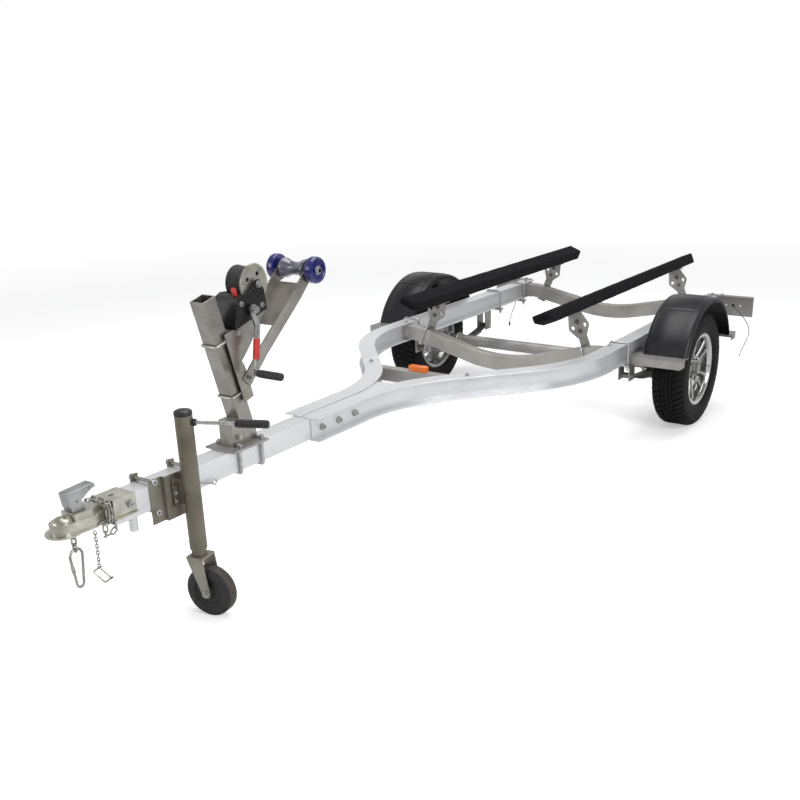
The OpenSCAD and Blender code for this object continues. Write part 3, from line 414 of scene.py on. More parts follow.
def rounded(corners, radius, steps=5):
    """An open path with each inner corner turned into an arc."""
    path = [Vector(corners[0])]
    for before, corner, after in zip(corners, corners[1:], corners[2:]):
        corner = Vector(corner)
        back = (Vector(before) - corner).normalized()
        ahead = (Vector(after) - corner).normalized()
        half = back.angle(ahead) / 2
        reach = radius / math.tan(half)
        centre = corner + (back + ahead).normalized() * radius / math.sin(half)
        first = corner + back * reach - centre
        last = corner + ahead * reach - centre
        for i in range(steps + 1):
            spoke_to = first.slerp(last, i / steps)
            path.append(centre + spoke_to * radius / spoke_to.length)
    return path + [Vector(corners[-1])]


def swept(path, outline, closed=False, up=(0.0, 0.0, 1.0)):
    """Carries an outline, given as (side, up) pairs, along a path without twisting it."""
    path = [Vector(point) for point in path]
    last = len(path) - 1
    side, rings = None, []
    for i, point in enumerate(path):
        before = path[i - 1] if i or closed else point
        after = path[(i + 1) % len(path)] if i < last or closed else point
        ahead = (after - before).normalized()
        if side is None:
            guide = Vector(up) if abs(ahead.dot(Vector(up))) < 0.95 else Vector((0.0, 1.0, 0.0))
            side = ahead.cross(guide)
        side = (side - ahead * side.dot(ahead)).normalized()
        rise = side.cross(ahead)
        rings.append([point + side * a + rise * b for a, b in outline])
    return lofted(rings, closed)


def circle(radius, sides=12):
    return [(radius * math.cos(math.tau * k / sides), radius * math.sin(math.tau * k / sides)) for k in range(sides)]


def rectangle(width, height):
    return [(-width / 2, -height / 2), (width / 2, -height / 2), (width / 2, height / 2), (-width / 2, height / 2)]


def rod(path, radius, sides=12, closed=False):
    return swept(path, circle(radius, sides), closed)


def turned(profile, centre, axis=(0.0, 1.0, 0.0), steps=64):
    """Turns a closed profile of (radius, distance along the axis) once round an axis."""
    axis = Vector(axis).normalized()
    first = axis.orthogonal().normalized()
    second = axis.cross(first)
    rings = []
    for k in range(steps):
        a = math.tau * k / steps
        out = first * math.cos(a) + second * math.sin(a)
        rings.append([Vector(centre) + out * r + axis * w for r, w in profile])
    return lofted(rings, closed=True)


def flat_sided(outline, origin, along, across, depth):
    """An outline of (a, b) pairs laid on two directions and given a depth."""
    along, across = Vector(along), Vector(across)
    out = along.cross(across).normalized() * depth
    base = [Vector(origin) + along * a + across * b for a, b in outline]
    return lofted([base, [point + out for point in base]])


def both_ways(half):
    """A half profile and its mirror image. A point on the middle line isn't repeated."""
    return half + [(r, -w) for r, w in reversed(half) if w]


# %% [markdown]
# ### From a shape to a piece
# `dressed` gives an object its shading, bevel and finish, and says which body it rides on.
# `piece` makes a new object from shapes, and `softened` finishes a part that is already right.

# %% Piece helpers
weld_gap, cad_weld_gap = 1e-6, 2e-5
flat_within = math.radians(1.0)
bevel_from = math.radians(32)


def cleaned(mesh, weld=0.0, flatten=False, outward=False):
    """Welds corners that meet, makes flat faces whole, and turns faces outwards."""
    work = bmesh.new()
    work.from_mesh(mesh)
    if weld:
        bmesh.ops.remove_doubles(work, verts=work.verts, dist=weld)
    if flatten:
        bmesh.ops.dissolve_limit(work, angle_limit=flat_within, verts=work.verts, edges=work.edges)
    if outward:
        bmesh.ops.recalc_face_normals(work, faces=work.faces)
    work.to_mesh(mesh)
    work.free()
    return mesh


def solid(name, shapes, weld=0.0):
    """One mesh of all the shapes."""
    mesh = bpy.data.meshes.new(name)
    points, faces = joined(shapes)
    mesh.from_pydata(points, [], faces)
    return cleaned(mesh, weld, outward=True)


def dressed(obj, material, body, slot, replaces=(), smooth=35.0, bevel=0.0, segments=2):
    """The last steps for every object: smooth shading, a bevel, a finish and a body to ride."""
    mesh = obj.data
    mesh.materials.clear()
    mesh.materials.append(material)
    mesh.shade_smooth()
    mesh.set_sharp_from_angle(angle=math.radians(smooth))
    if bevel:
        edge = obj.modifiers.new("edge", "BEVEL")
        edge.width = bevel
        edge.segments = segments
        edge.limit_method = "ANGLE"
        edge.angle_limit = bevel_from
        edge.harden_normals = True
    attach(obj, body)
    if replaces:
        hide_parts(*replaces)
    print(obj.name, "rides on", body)
    return obj


def piece(name, shapes, material, body="chassis", slot="plated_steel", **more):
    return dressed(linked(name, solid(name, shapes, weld_gap)), material, body, slot, **more)


def softened(name, material, bevel=0.0012, smooth=35.0, segments=2):
    """A copy of a CAD part with its flat faces made whole and its sharp edges broken, as on real metal."""
    obj = linked(name + "_finished", cleaned(nodes[name].data.copy(), cad_weld_gap, flatten=True))
    return dressed(obj, material, body_of_node[name], slot_of_node[name], [name], smooth, bevel, segments)


# %% [markdown]
# ## Tail lamp wires
# Two thin wires come out of the rear plates and hang free: the left one is bare, and the right
# one ends in a small connector. A free cord is one smooth curve along given points, with a round
# bevel for its thickness.

# %% Wires
wire_radius = 0.002
left_route = [(-914, 716, 430), (-908, 716, 430), (-902, 716, 430), (-894, 718, 429), (-886, 731, 421),
              (-882, 743, 413), (-880, 756, 403), (-880, 769, 391), (-881, 782, 377), (-883, 794, 362),
              (-886, 805, 346), (-889, 814, 329), (-892, 820, 311), (-893, 822, 293), (-892, 821, 275),
              (-890, 817, 257), (-888, 812, 239), (-886, 806, 221), (-884, 800, 204), (-882, 794, 188),
              (-881, 789, 173), (-880, 785, 158), (-880, 783, 144)]
right_route = [(-914, -716, 430), (-908, -716, 430), (-902, -716, 430), (-894, -714, 428), (-889, -709, 420),
               (-886, -702, 410), (-884, -694, 398), (-883, -687, 384), (-883, -681, 369), (-884, -678, 353),
               (-885, -678, 337), (-886, -681, 321), (-887, -686, 305), (-887, -692, 290), (-886, -698, 275),
               (-885, -704, 260), (-884, -709, 245), (-883, -713, 230), (-882, -716, 215), (-881, -718, 203)]


def wire(name, route, cad_name):
    """A cord along a route given in millimetres."""
    points = [at(x / 1000, y / 1000, z / 1000) for x, y, z in route]
    curve = bpy.data.curves.new(name, "CURVE")
    curve.dimensions = "3D"
    curve.bevel_depth = wire_radius
    curve.bevel_resolution = 3
    curve.use_fill_caps = True
    spline = curve.splines.new("POLY")
    spline.points.add(len(points) - 1)
    for knot, point in zip(spline.points, points):
        knot.co = (*point, 1.0)
    curve.materials.append(soft_rubber)
    obj = linked(name, curve)
    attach(obj, "chassis")
    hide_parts(cad_name)


plug_low, plug_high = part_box("wire_plug")
plug_centre = (plug_low + plug_high) / 2
plug_profile = [(0.0005, -0.013), (0.0042, -0.013), (0.0058, -0.0115), (0.0058, -0.002), (0.0047, -0.001),
                (0.0047, 0.003), (0.0055, 0.004), (0.0055, 0.008), (0.003, 0.0127), (0.0005, 0.0127)]
plug = piece("wire_connector", [turned(plug_profile, plug_centre, up, 24)], black_plastic, slot="rubber",
             replaces=["wire_plug"])
wire("tail_wire_left", left_route, "wire_left")
wire("tail_wire_right", right_route, "wire_right")

# %% [markdown]
# ## What repeats: geometry nodes
# A trailer has dozens of nuts, links and tread blocks. Each kind is one small tree with named
# sizes. The tree places copies, Realize Instances makes them real, and Set Material gives
# the finish. `grown` then keeps the result as a plain mesh.

# %% Geometry tree helpers


def geometry_tree(name, sizes):
    """A tree that takes geometry, named sizes and a finish, and gives geometry back."""
    tree = bpy.data.node_groups.new(name, "GeometryNodeTree")
    tree.interface.new_socket("Geometry", in_out="INPUT", socket_type="NodeSocketGeometry")
    tree.interface.new_socket("Geometry", in_out="OUTPUT", socket_type="NodeSocketGeometry")
    for label, value in sizes.items():
        kind = "NodeSocketInt" if isinstance(value, int) else "NodeSocketFloat"
        tree.interface.new_socket(label, in_out="INPUT", socket_type=kind).default_value = value
    tree.interface.new_socket("Finish", in_out="INPUT", socket_type="NodeSocketMaterial")
    return tree, tree.nodes.new("NodeGroupInput").outputs


def copied(tree, points, shape, rotation, given):
    """The end of every tree: a copy on each point, made real and given its finish."""
    copies = node(tree, "GeometryNodeInstanceOnPoints", {"Points": points, "Instance": shape, "Rotation": rotation})
    real = node(tree, "GeometryNodeRealizeInstances", {"Geometry": copies.outputs[0]})
    finished = node(tree, "GeometryNodeSetMaterial", {"Geometry": real.outputs[0], "Material": given["Finish"]})
    node(tree, "NodeGroupOutput", {"Geometry": finished.outputs[0]})
    return tree


def turn_about(tree, axis, angle):
    return node(tree, "FunctionNodeAxisAngleToRotation", {"Axis": axis, "Angle": angle}).outputs[0]


def grown(name, mesh, tree, values, material):
    """Runs a tree on a seed mesh and returns the result as a plain object."""
    seed = linked(name + "_seed", mesh)
    grow = seed.modifiers.new("grow", "NODES")
    grow.node_group = tree
    sockets = {item.name: item.identifier for item in tree.interface.items_tree if item.in_out == "INPUT"}
    for label, value in {**values, "Finish": material}.items():
        grow[sockets[label]] = value
    evaluated = seed.evaluated_get(bpy.context.evaluated_depsgraph_get())
    result = bpy.data.meshes.new_from_object(evaluated)
    bpy.data.objects.remove(seed)
    result.name = name
    return linked(name, result)


def line_mesh(name, points, closed=False):
    mesh = bpy.data.meshes.new(name)
    edges = [(i, i + 1) for i in range(len(points) - 1)] + ([(len(points) - 1, 0)] if closed else [])
    mesh.from_pydata(points, edges, [])
    return mesh


# %% [markdown]
# ### Nuts and bolts
# Each fastener is a point that carries the direction it faces. The tree puts a washer, a six-sided
# head and a short thread end on every point and turns them to that direction.

# %% Fastener tree


def fastener_tree():
    tree, given = geometry_tree("fastener", {"Across": 0.017, "Head": 0.008, "Washer": 0.011,
                                             "Washer Thickness": 0.0018, "Thread": 0.005, "Thread Radius": 0.004})

    def can(sides, radius, height, lift):
        """A cylinder that stands on a height."""
        shape = node(tree, "GeometryNodeMeshCylinder", {"Vertices": sides, "Radius": radius, "Depth": height})
        middle = maths(tree, "ADD", maths(tree, "MULTIPLY", height, 0.5), lift)
        move = node(tree, "ShaderNodeCombineXYZ", {"Z": middle}).outputs[0]
        moved = node(tree, "GeometryNodeTransform", {"Geometry": shape.outputs["Mesh"], "Translation": move})
        return moved.outputs[0]

    radius = maths(tree, "MULTIPLY", given["Across"], 1 / math.sqrt(3))
    head_top = maths(tree, "ADD", given["Washer Thickness"], given["Head"])
    washer = can(20, given["Washer"], given["Washer Thickness"], 0.0)
    head = can(6, radius, given["Head"], given["Washer Thickness"])
    thread = can(12, given["Thread Radius"], given["Thread"], head_top)
    parts = node(tree, "GeometryNodeJoinGeometry")
    for part in (washer, head, thread):
        tree.links.new(part, parts.inputs[0])
    facing = node(tree, "GeometryNodeInputNamedAttribute", {"Name": "facing"}, data_type="FLOAT_VECTOR")
    turned_to = node(tree, "FunctionNodeAlignRotationToVector", {"Vector": facing.outputs["Attribute"]}, axis="Z")
    return copied(tree, given["Geometry"], parts.outputs[0], turned_to.outputs[0], given)


fasteners_tree = fastener_tree()


def fasteners(name, places, body="chassis", slot="plated_steel", material=bolt_zinc, **sizes):
    """places is a list of (point, direction) pairs, and sizes are the tree's inputs."""
    mesh = bpy.data.meshes.new(name)
    mesh.from_pydata([point for point, facing in places], [], [])
    attribute = mesh.attributes.new("facing", "FLOAT_VECTOR", "POINT")
    attribute.data.foreach_set("vector", [value for point, facing in places for value in Vector(facing).normalized()])
    values = {label.replace("_", " ").title(): value for label, value in sizes.items()}
    obj = grown(name, mesh, fasteners_tree, values, material)
    print(name, "has", len(places), "fasteners")
    return dressed(obj, material, body, slot, smooth=30.0, bevel=0.0006, segments=1)


# %% [markdown]
# ### Chain
# A link is a rounded rectangle of round wire. The tree walks along a line, sets a link at every
# pitch and turns every second one by a quarter, which is all that a chain is.

# %% Chain tree


def chain_tree():
    tree, given = geometry_tree("chain", {"Pitch": 0.021, "Length": 0.028, "Width": 0.015, "Wire": 0.003})
    box = {"Width": given["Width"], "Height": given["Length"]}
    outline = node(tree, "GeometryNodeCurvePrimitiveQuadrilateral", box).outputs[0]
    corner = maths(tree, "MULTIPLY", given["Width"], 0.49)
    oval = node(tree, "GeometryNodeFilletCurve", {"Curve": outline, "Radius": corner, "Count": 5}, mode="POLY")
    section = node(tree, "GeometryNodeCurvePrimitiveCircle", {"Radius": given["Wire"], "Resolution": 8})
    link = node(tree, "GeometryNodeCurveToMesh", {"Curve": oval.outputs[0], "Profile Curve": section.outputs[0]})
    upright = node(tree, "GeometryNodeTransform", {"Geometry": link.outputs[0], "Rotation": (math.pi / 2, 0, 0)})
    line = node(tree, "GeometryNodeMeshToCurve", {"Mesh": given["Geometry"]})
    stops = node(tree, "GeometryNodeCurveToPoints", {"Curve": line.outputs[0], "Length": given["Pitch"]}, mode="LENGTH")
    index = node(tree, "GeometryNodeInputIndex").outputs[0]
    quarter = maths(tree, "MULTIPLY", maths(tree, "MODULO", index, 2.0), math.pi / 2)
    turns = {"Rotation": stops.outputs["Rotation"], "Rotate By": turn_about(tree, up, quarter)}
    roll = node(tree, "FunctionNodeRotateRotation", turns, rotation_space="LOCAL")
    return copied(tree, stops.outputs["Points"], upright.outputs[0], roll.outputs[0], given)


chains_tree = chain_tree()


def chain(name, path, material, replaces=(), closed=False, **sizes):
    values = {label.title(): value for label, value in sizes.items()}
    obj = grown(name, line_mesh(name, path, closed), chains_tree, values, material)
    return dressed(obj, material, "chassis", "plated_steel", replaces, smooth=60.0)


# %% [markdown]
# ### Copies round an axle
# Tread blocks and spokes repeat round a centre. This tree turns copies of its seed shape
# round the Y axis, and the finished ring is then moved to its wheel.

# %% Ring tree


def ring_tree():
    tree, given = geometry_tree("ring", {"Copies": 12})
    starts = node(tree, "GeometryNodePoints", {"Count": given["Copies"]}).outputs[0]
    share = maths(tree, "DIVIDE", node(tree, "GeometryNodeInputIndex").outputs[0], given["Copies"])
    angle = maths(tree, "MULTIPLY", share, math.tau)
    return copied(tree, starts, given["Geometry"], turn_about(tree, leftward, angle), given)


rings_tree = ring_tree()


def ring_of(name, shapes, copies, centre, material, body, slot, mirror=False, replaces=(), **more):
    obj = grown(name, solid(name + "_one", shapes), rings_tree, {"Copies": copies}, material)
    if mirror:
        obj.data.transform(Matrix.Scale(-1, 4, (0, 1, 0)))
        obj.data.flip_normals()
    obj.data.transform(Matrix.Translation(Vector(centre)))
    return dressed(obj, material, body, slot, replaces, **more)


# %% [markdown]
# ## The frame
# The rails, the drawbar and the neck are the right shape already. Real edges are never knife
# sharp, so each part gets a small bevel that catches a thin line of light.

# %% Rails, drawbar and members
for name in ("rail_left", "rail_right", "drawbar"):
    softened(name, bright_aluminium, 0.0016)
for name in ("neck_member", "front_cross_member", "rear_cross_member"):
    softened(name, cast_aluminium, 0.004, segments=3)
for name in ("front_steps", "rear_steps", "lamp_bracket_left", "lamp_bracket_right", "bunk_bars", "bunk_heads",
             "winch_base", "spring_hangers", "spring_plates"):
    softened(name, galvanised, 0.0012)
softened("axle_beam", galvanised, 0.001)
softened("leaf_springs", dull_steel, 0.001)
for name in ("winch_post", "post_brace", "winch_bracket", "roller_arms"):
    softened(name, brushed_aluminium, 0.0014)
softened("grommets", soft_rubber, 0.0)

# %% [markdown]
# Three bolts hold each rail to the drawbar. At both dished members and at the steps, round
# U-bolts clamp the parts over the rails, with a plate below.

# %% Rail bolts and rail clamps
rail_bolt_places = (1.785, 1.89, 1.99)
web_thickness, bolt_drop = 0.0063, 0.006
web_face = tube_half + web_thickness
rail_bolts = [(at(x, side * web_face, rail_mid - bolt_drop), (0, side, 0))
              for x in rail_bolt_places for side in both_sides]
clamp_rod_out, clamp_rod_r, clamp_plate_out = 0.0465, 0.005, 0.060
clamp_places = (0.435, -0.445, -0.74)
fasteners("rail_bolts", rail_bolts, across=0.021, head=0.01, washer=0.0145, thread=0.008)


def rail_clamp(x, side):
    """A U-bolt of round rod over the rail, and the plate under it."""
    top = rail_high.z + clamp_rod_r
    foot = rail_low.z - 0.028
    y_in, y_out = side * (rail_y - clamp_rod_out), side * (rail_y + clamp_rod_out)
    corners = [at(x, y_in, foot), at(x, y_in, top), at(x, y_out, top), at(x, y_out, foot)]
    bow = rod(rounded(corners, 0.014), clamp_rod_r)
    plate_z = rail_low.z - 0.0085
    plate_ends = [at(x, side * (rail_y + out * clamp_plate_out), plate_z) for out in (-1, 1)]
    plate = swept(plate_ends, rectangle(0.034, 0.008))
    nuts = [(at(x, y, plate_z - 0.004), down) for y in (y_in, y_out)]
    return [bow, plate], nuts


clamp_shapes, clamp_nuts = [], []
for x in clamp_places:
    for side in both_sides:
        shapes, nuts = rail_clamp(x, side)
        clamp_shapes += shapes
        clamp_nuts += nuts
piece("rail_clamps", clamp_shapes, bolt_zinc, bevel=0.0008, segments=1)
fasteners("rail_clamp_nuts", clamp_nuts, across=0.017, head=0.008, washer=0.011, thread=0.012,
          thread_radius=0.0048)

# %% [markdown]
# Each bunk bar is clamped to its member by a U-bolt that goes round the member's front. A ray
# cast down the bar's line finds the top and the underside of the dished member there.

# %% Bunk bar clamps and bunk bolts
bunk_rear, bunk_front = reach_of("bunk_left")
bunk_tilt = math.radians(22)
bunk_mid_y = 0.377
rail_half, bunk_rise = 0.038, 0.140
bunk_under = rail_mid + rail_half + bunk_rise
members = ("front_cross_member", "rear_cross_member")
slope = Vector((0, -math.sin(bunk_tilt), math.cos(bunk_tilt)))
across = Vector((0, math.cos(bunk_tilt), math.sin(bunk_tilt)))


def on_bunk(x, y, z, side=1):
    """A point measured along the bunk, across its slope, and out of its underside."""
    point = at(x, bunk_mid_y, bunk_under) + across * y + slope * z
    return Vector((point.x, point.y * side, point.z))


def member_edges(name, x):
    """Distances down the bar's line to the member's top and underside."""
    mesh = nodes[name].data
    member = BVHTree.FromPolygons([v.co for v in mesh.vertices], [p.vertices for p in mesh.polygons])
    found = []
    for start, direction in ((on_bunk(x, 0, 0), -slope), (on_bunk(x, 0, -0.5), slope)):
        place = member.ray_cast(start, direction)[0]
        found.append((place - at(x, bunk_mid_y, bunk_under)).dot(slope))
    return found


bow_shapes, bar_nuts, head_bolts = [], [], []
rod_gap, nut_gap, bar_gap = 0.007, 0.0065, 0.006
for name in members:
    rear, front = reach_of(name)
    top, low = member_edges(name, (front + rear) / 2)
    tail, nose = rear - 0.018, front + bar_gap
    over, under = top + rod_gap, low - rod_gap
    for side in both_sides:
        corners = [(tail, over), (nose, over), (nose, under), (tail, under)]
        bow_shapes.append(rod(rounded([on_bunk(x, 0, z, side) for x, z in corners], 0.012), 0.0045))
        bar_nuts += [(on_bunk(rear - nut_gap, 0, z, side), rearward) for z in (over, under)]
        for z in (-0.042, -0.088):
            head_bolts.append((on_bunk(rear + bar_gap, 0, z, side), forward))
            head_bolts.append((on_bunk(rear - nut_gap, 0, z, side), rearward))
piece("bunk_bar_clamps", bow_shapes, bolt_zinc)
fasteners("bunk_bar_nuts", bar_nuts, across=0.015, head=0.007, washer=0.010, thread=0.009)
fasteners("bunk_head_bolts", head_bolts, slot="dark_steel", material=dull_steel, across=0.017, head=0.007,
          washer=0.0115, thread=0.002)
member_bolts = []
member_end_y, neck_x, neck_y = 0.552, 1.262, 0.252
for name in members:
    face = reach_of(name)[1]
    member_bolts += [(at(face, side * member_end_y, rail_mid - 0.012), forward) for side in both_sides]
    member_bolts += [(at(face - 0.02, side * (rail_y - 0.018), rail_high.z), up) for side in both_sides]
member_bolts += [(at(neck_x, side * neck_y, rail_high.z), up) for side in both_sides]
fasteners("member_bolts", member_bolts, across=0.015, head=0.006, washer=0.010, thread=0.003)

# %% [markdown]
# ## The bunks
# A bunk is a plank with black carpet pulled round it. The carpet rounds its edges, and the
# lower front edge is cut back. The plank is one lofted section with rounded corners,
# slightly wavy along its length because the carpet is.

# %% Bunks
bunk_w, bunk_t = 0.084, 0.058
plank_corner = 0.009
plank_steps = 60
rear_end = ((0.0, 0.007), (0.0025, 0.003), (0.008, 0.0))
front_end = ((0.008, 0.0005, 0.020), (0.0025, 0.003, 0.021), (0.0, 0.007, 0.022))


def plank_ring(x, side, shrink=0.0, lift=0.0):
    """One rounded section of the plank at x, with its underside lifted where the end is cut back."""
    ring = []
    half = bunk_w / 2 - shrink
    low, high = lift + shrink, bunk_t - shrink
    for cx, cz, start in ((half, low, 270), (half, high, 0), (-half, high, 90), (-half, low, 180)):
        px = cx - math.copysign(plank_corner, cx)
        pz = cz + (plank_corner if start in (270, 180) else -plank_corner)
        for i in range(5):
            a = math.radians(start + i * 22.5)
            ring.append((px + plank_corner * math.cos(a), pz + plank_corner * math.sin(a)))
    return [on_bunk(x, a, b, side) for a, b in ring]


def plank(side):
    """Two rounded ends, and between them a long middle whose surface waves by less than a millimetre."""
    rings = [plank_ring(bunk_rear + along, side, shrink) for along, shrink in rear_end]
    start, end = bunk_rear + 0.02, bunk_front - 0.07
    for i in range(plank_steps + 1):
        x = start + (end - start) * i / plank_steps
        wave = 0.0005 * math.sin(19 * x + side) + 0.0003 * math.sin(53 * x)
        rings.append(plank_ring(x, side, 0.0004 + abs(wave)))
    rings += [plank_ring(bunk_front - back, side, shrink, lift) for back, shrink, lift in front_end]
    return lofted(rings)


for side, label in named_sides:
    name = "bunk_" + label
    piece(name + "_carpeted", [plank(side)], carpet, slot="carpet", replaces=[name], smooth=50.0)
staples, staple_half, staple_r = 24, 0.005, 0.0006


def staple_row(side):
    """Staples that hold the carpet along the plank's underside."""
    shapes = []
    for i in range(staples):
        x = bunk_rear + 0.06 + i * (bunk_front - bunk_rear - 0.2) / (staples - 1)
        for y in (-0.026, 0.026):
            ends = [on_bunk(x + along, y, -0.0002, side) for along in (-staple_half, staple_half)]
            shapes.append(rod(ends, staple_r, 6))
    return shapes


piece("bunk_staples", staple_row(1) + staple_row(-1), bolt_zinc)

# %% [markdown]
# ## Axle, springs and wheels
# Two U-bolts on each side go over the axle and down past the leaf spring to a plate.

# %% Spring clamps
spring_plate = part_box("spring_plates")[0].z
bow_half, bow_apart, hanger_x = 0.0355, 0.029, 0.33
spring_shapes, spring_nuts = [], []
for side in both_sides:
    for y in (rail_y - bow_apart, rail_y + bow_apart):
        low, high = spring_plate - 0.014, axle_z + bow_half
        corners = ((-bow_half, low), (-bow_half, high), (bow_half, high), (bow_half, low))
        spring_shapes.append(rod(rounded([at(x, side * y, z) for x, z in corners], 0.0354, 9), 0.005))
        spring_nuts += [(at(x, side * y, spring_plate), down) for x in (-bow_half, bow_half)]
piece("spring_u_bolts", spring_shapes, bolt_zinc)
fasteners("spring_nuts", spring_nuts, across=0.017, head=0.010, washer=0.011, thread=0.004)
hanger_nuts = []
hanger_hole_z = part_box("spring_hangers")[0].z + 0.020
for side in both_sides:
    for x in (-hanger_x, hanger_x):
        hanger_nuts += [(at(x, side * (rail_y + out * 0.0295), hanger_hole_z), (0, side * out, 0))
                        for out in both_sides]
fasteners("hanger_nuts", hanger_nuts, across=0.020, head=0.008, washer=0.012, thread=0.0)

# %% [markdown]
# ### Tyres
# The carcass is one turned profile with a low tread base and grooves, and the tread blocks
# stand on it. A shoulder block bends with the tyre's round edge, so its section follows an
# arc. The ring tree repeats one pitch of blocks 56 times, and the left wheel's ring is
# mirrored for the right one.

# %% Tyres
shoulder_r, shoulder_y, shoulder_bend = 0.248, 0.0445, 0.038
pitches = 56
pitch_angle = math.tau / pitches


def on_shoulder(degrees, inset=0.0):
    """A point of the tyre's round edge, as (radius, distance from the middle)."""
    a = math.radians(degrees)
    reach = shoulder_bend - inset
    return shoulder_r + reach * math.sin(a), shoulder_y + reach * math.cos(a)


half_tyre = [(0.1655, 0.0655), (0.1785, 0.0655), (0.1785, 0.0705), (0.184, 0.0735), (0.190, 0.0775), (0.197, 0.0796),
             (0.1985, 0.0812), (0.2035, 0.0815), (0.205, 0.0806), (0.219, 0.0819), (0.2205, 0.0824), (0.2245, 0.0824),
             (0.226, 0.0818), (0.248, 0.0815), on_shoulder(12, 0.001), on_shoulder(24, 0.003), on_shoulder(32, 0.0075),
             on_shoulder(48, 0.0075), on_shoulder(66, 0.0075), (0.2785, 0.0445), (0.2785, 0.0062), (0.2855, 0.0055),
             (0.2855, 0.0)]
tyre_profile = both_ways(half_tyre)
block_top, block_foot = 0.286, 0.276


def tread_block(outer, inner, start, share, lean):
    """A block between two section lines, from one angle to another, leaning with its place across the tread."""
    rings = []
    for turn_by in (start, start + share):
        ring = []
        for r, y in outer + list(reversed(inner)):
            a = (turn_by + lean * y / 0.05) * pitch_angle
            ring.append(Vector((r * math.cos(a), y, r * math.sin(a))))
        rings.append(ring)
    return lofted(rings)


def tread_pitch():
    """One shoulder block and one middle block on each side of the tyre."""
    blocks = []
    for side in both_sides:
        edges = []
        for r, inset in ((block_top, 0.0), (block_foot, block_top - block_foot)):
            edge = [(r, 0.033), (r, shoulder_y)] + [on_shoulder(degrees, inset) for degrees in (72, 54, 38, 24)]
            edges.append([(r, side * y) for r, y in edge])
        blocks.append(tread_block(*edges, 0.25 + 0.25 * side, 0.74, 0.7))
        edges = [[(r, side * 0.0105), (r, side * 0.0285)] for r in (block_top, block_foot)]
        blocks.append(tread_block(*edges, 0.1 + 0.2 * side, 0.80, 0.9))
    return blocks


for side, label in named_sides:
    centre = at(0, side * wheel_y, axle_z)
    body = "wheel_" + label
    piece("tyre_" + label + "_carcass", [turned(tyre_profile, centre, steps=112)], tyre_rubber, body, "tyre",
          replaces=["tyre_" + label], smooth=28.0)
    ring_of("tyre_" + label + "_tread", tread_pitch(), pitches, centre, tyre_rubber, body, "tyre",
            mirror=side < 0, smooth=40.0)

# %% [markdown]
# ### Alloy rims
# The rim's barrel is turned, its outer ring is polished, and ten spokes in five pairs run
# from the hub out to the ring. One spoke is a loft of four sections that get wider and
# then fork outwards, and the ring tree turns the copies.

# %% Rims
barrel = [(0.165, -0.066), (0.165, 0.066), (0.1775, 0.066), (0.1775, 0.0690), (0.170, 0.0696), (0.160, 0.062),
          (0.156, 0.050), (0.158, 0.020), (0.150, 0.010), (0.150, -0.020), (0.160, -0.040), (0.160, -0.066),
          (0.166, -0.0695), (0.1775, -0.0695), (0.1775, -0.066)]
polished = [(0.1782, 0.0664), (0.1782, 0.0696), (0.1715, 0.0700), (0.1625, 0.0672), (0.1565, 0.0600), (0.1535, 0.0510),
            (0.1535, 0.0460), (0.1585, 0.0460), (0.1610, 0.0600), (0.1660, 0.0664)]
centre_disc = [(0.0285, 0.0128), (0.066, 0.0128), (0.070, 0.016), (0.070, 0.030), (0.064, 0.0345), (0.036, 0.0345),
               (0.034, 0.038), (0.0285, 0.038)]
rim_parts = (("barrel", barrel, wheel_silver), ("ring", polished, chrome), ("disc", centre_disc, wheel_silver))
hub_cap = [(0.0005, 0.030), (0.0282, 0.030), (0.0282, 0.047), (0.0275, 0.049), (0.0245, 0.0555), (0.0190, 0.0600),
           (0.0120, 0.0612), (0.0005, 0.0616)]


spoke_sections = ((0.058, 0.0, 0.0085, 0.014, 0.0335), (0.085, 0.0015, 0.0085, 0.022, 0.040),
                  (0.120, 0.0040, 0.0085, 0.030, 0.0465), (0.1575, 0.0085, 0.0110, 0.034, 0.0520))


def spoke(angle):
    """One spoke, from sections of (distance out, sideways shift, half width, back, face)."""
    a = angle * 0.55
    rings = []
    for x, shift, half, back, face in spoke_sections:
        middle = math.copysign(shift + 0.008, angle) * 0.9
        ring = []
        for across_by, y in ((-half, back), (half, back), (half, face - 0.004), (half - 0.003, face),
                             (-half + 0.003, face), (-half, face - 0.004)):
            z = middle + across_by
            ring.append(Vector((x * math.cos(a) - z * math.sin(a), y, x * math.sin(a) + z * math.cos(a))))
        rings.append(ring)
    return lofted(rings)


for side, label in named_sides:
    centre = at(0, side * wheel_y, axle_z)
    body = "wheel_" + label
    for part, profile, material in rim_parts:
        shape = turned([(r, side * y) for r, y in profile], centre, steps=96)
        piece("rim_" + label + "_" + part, [shape], material, body, "rim_silver", smooth=24.0,
              replaces=["rim_" + label] if part == "barrel" else [])
    ring_of("rim_" + label + "_spokes", [spoke(0.22), spoke(-0.22)], 5, centre, wheel_silver, body, "rim_silver",
            mirror=side < 0, smooth=30.0, bevel=0.0015)
    softened("hub_" + label, galvanised, 0.0015)
    cap = turned([(r, side * y) for r, y in hub_cap], centre, steps=48)
    piece("hub_" + label + "_cap", [cap], chrome, body, "hub_steel", smooth=40.0)
    lugs = []
    for k in range(5):
        a = math.tau * (k + 0.5) / 5
        lugs.append((centre + Vector((0.050 * math.cos(a), side * 0.034, 0.050 * math.sin(a))), (0, side, 0)))
    fasteners("lug_nuts_" + label, lugs, body, "rim_silver", chrome, across=0.019, head=0.013, washer=0.012,
              thread=0.003, thread_radius=0.007)

# %% [markdown]
# ## Fenders
# A fender is one section carried round the wheel. Each point of the section stops where its own
# radius meets the step, so both ends are cut level. The middle panel stands a little proud,
# with three creases across it, and the rim of the skirt has a bead.

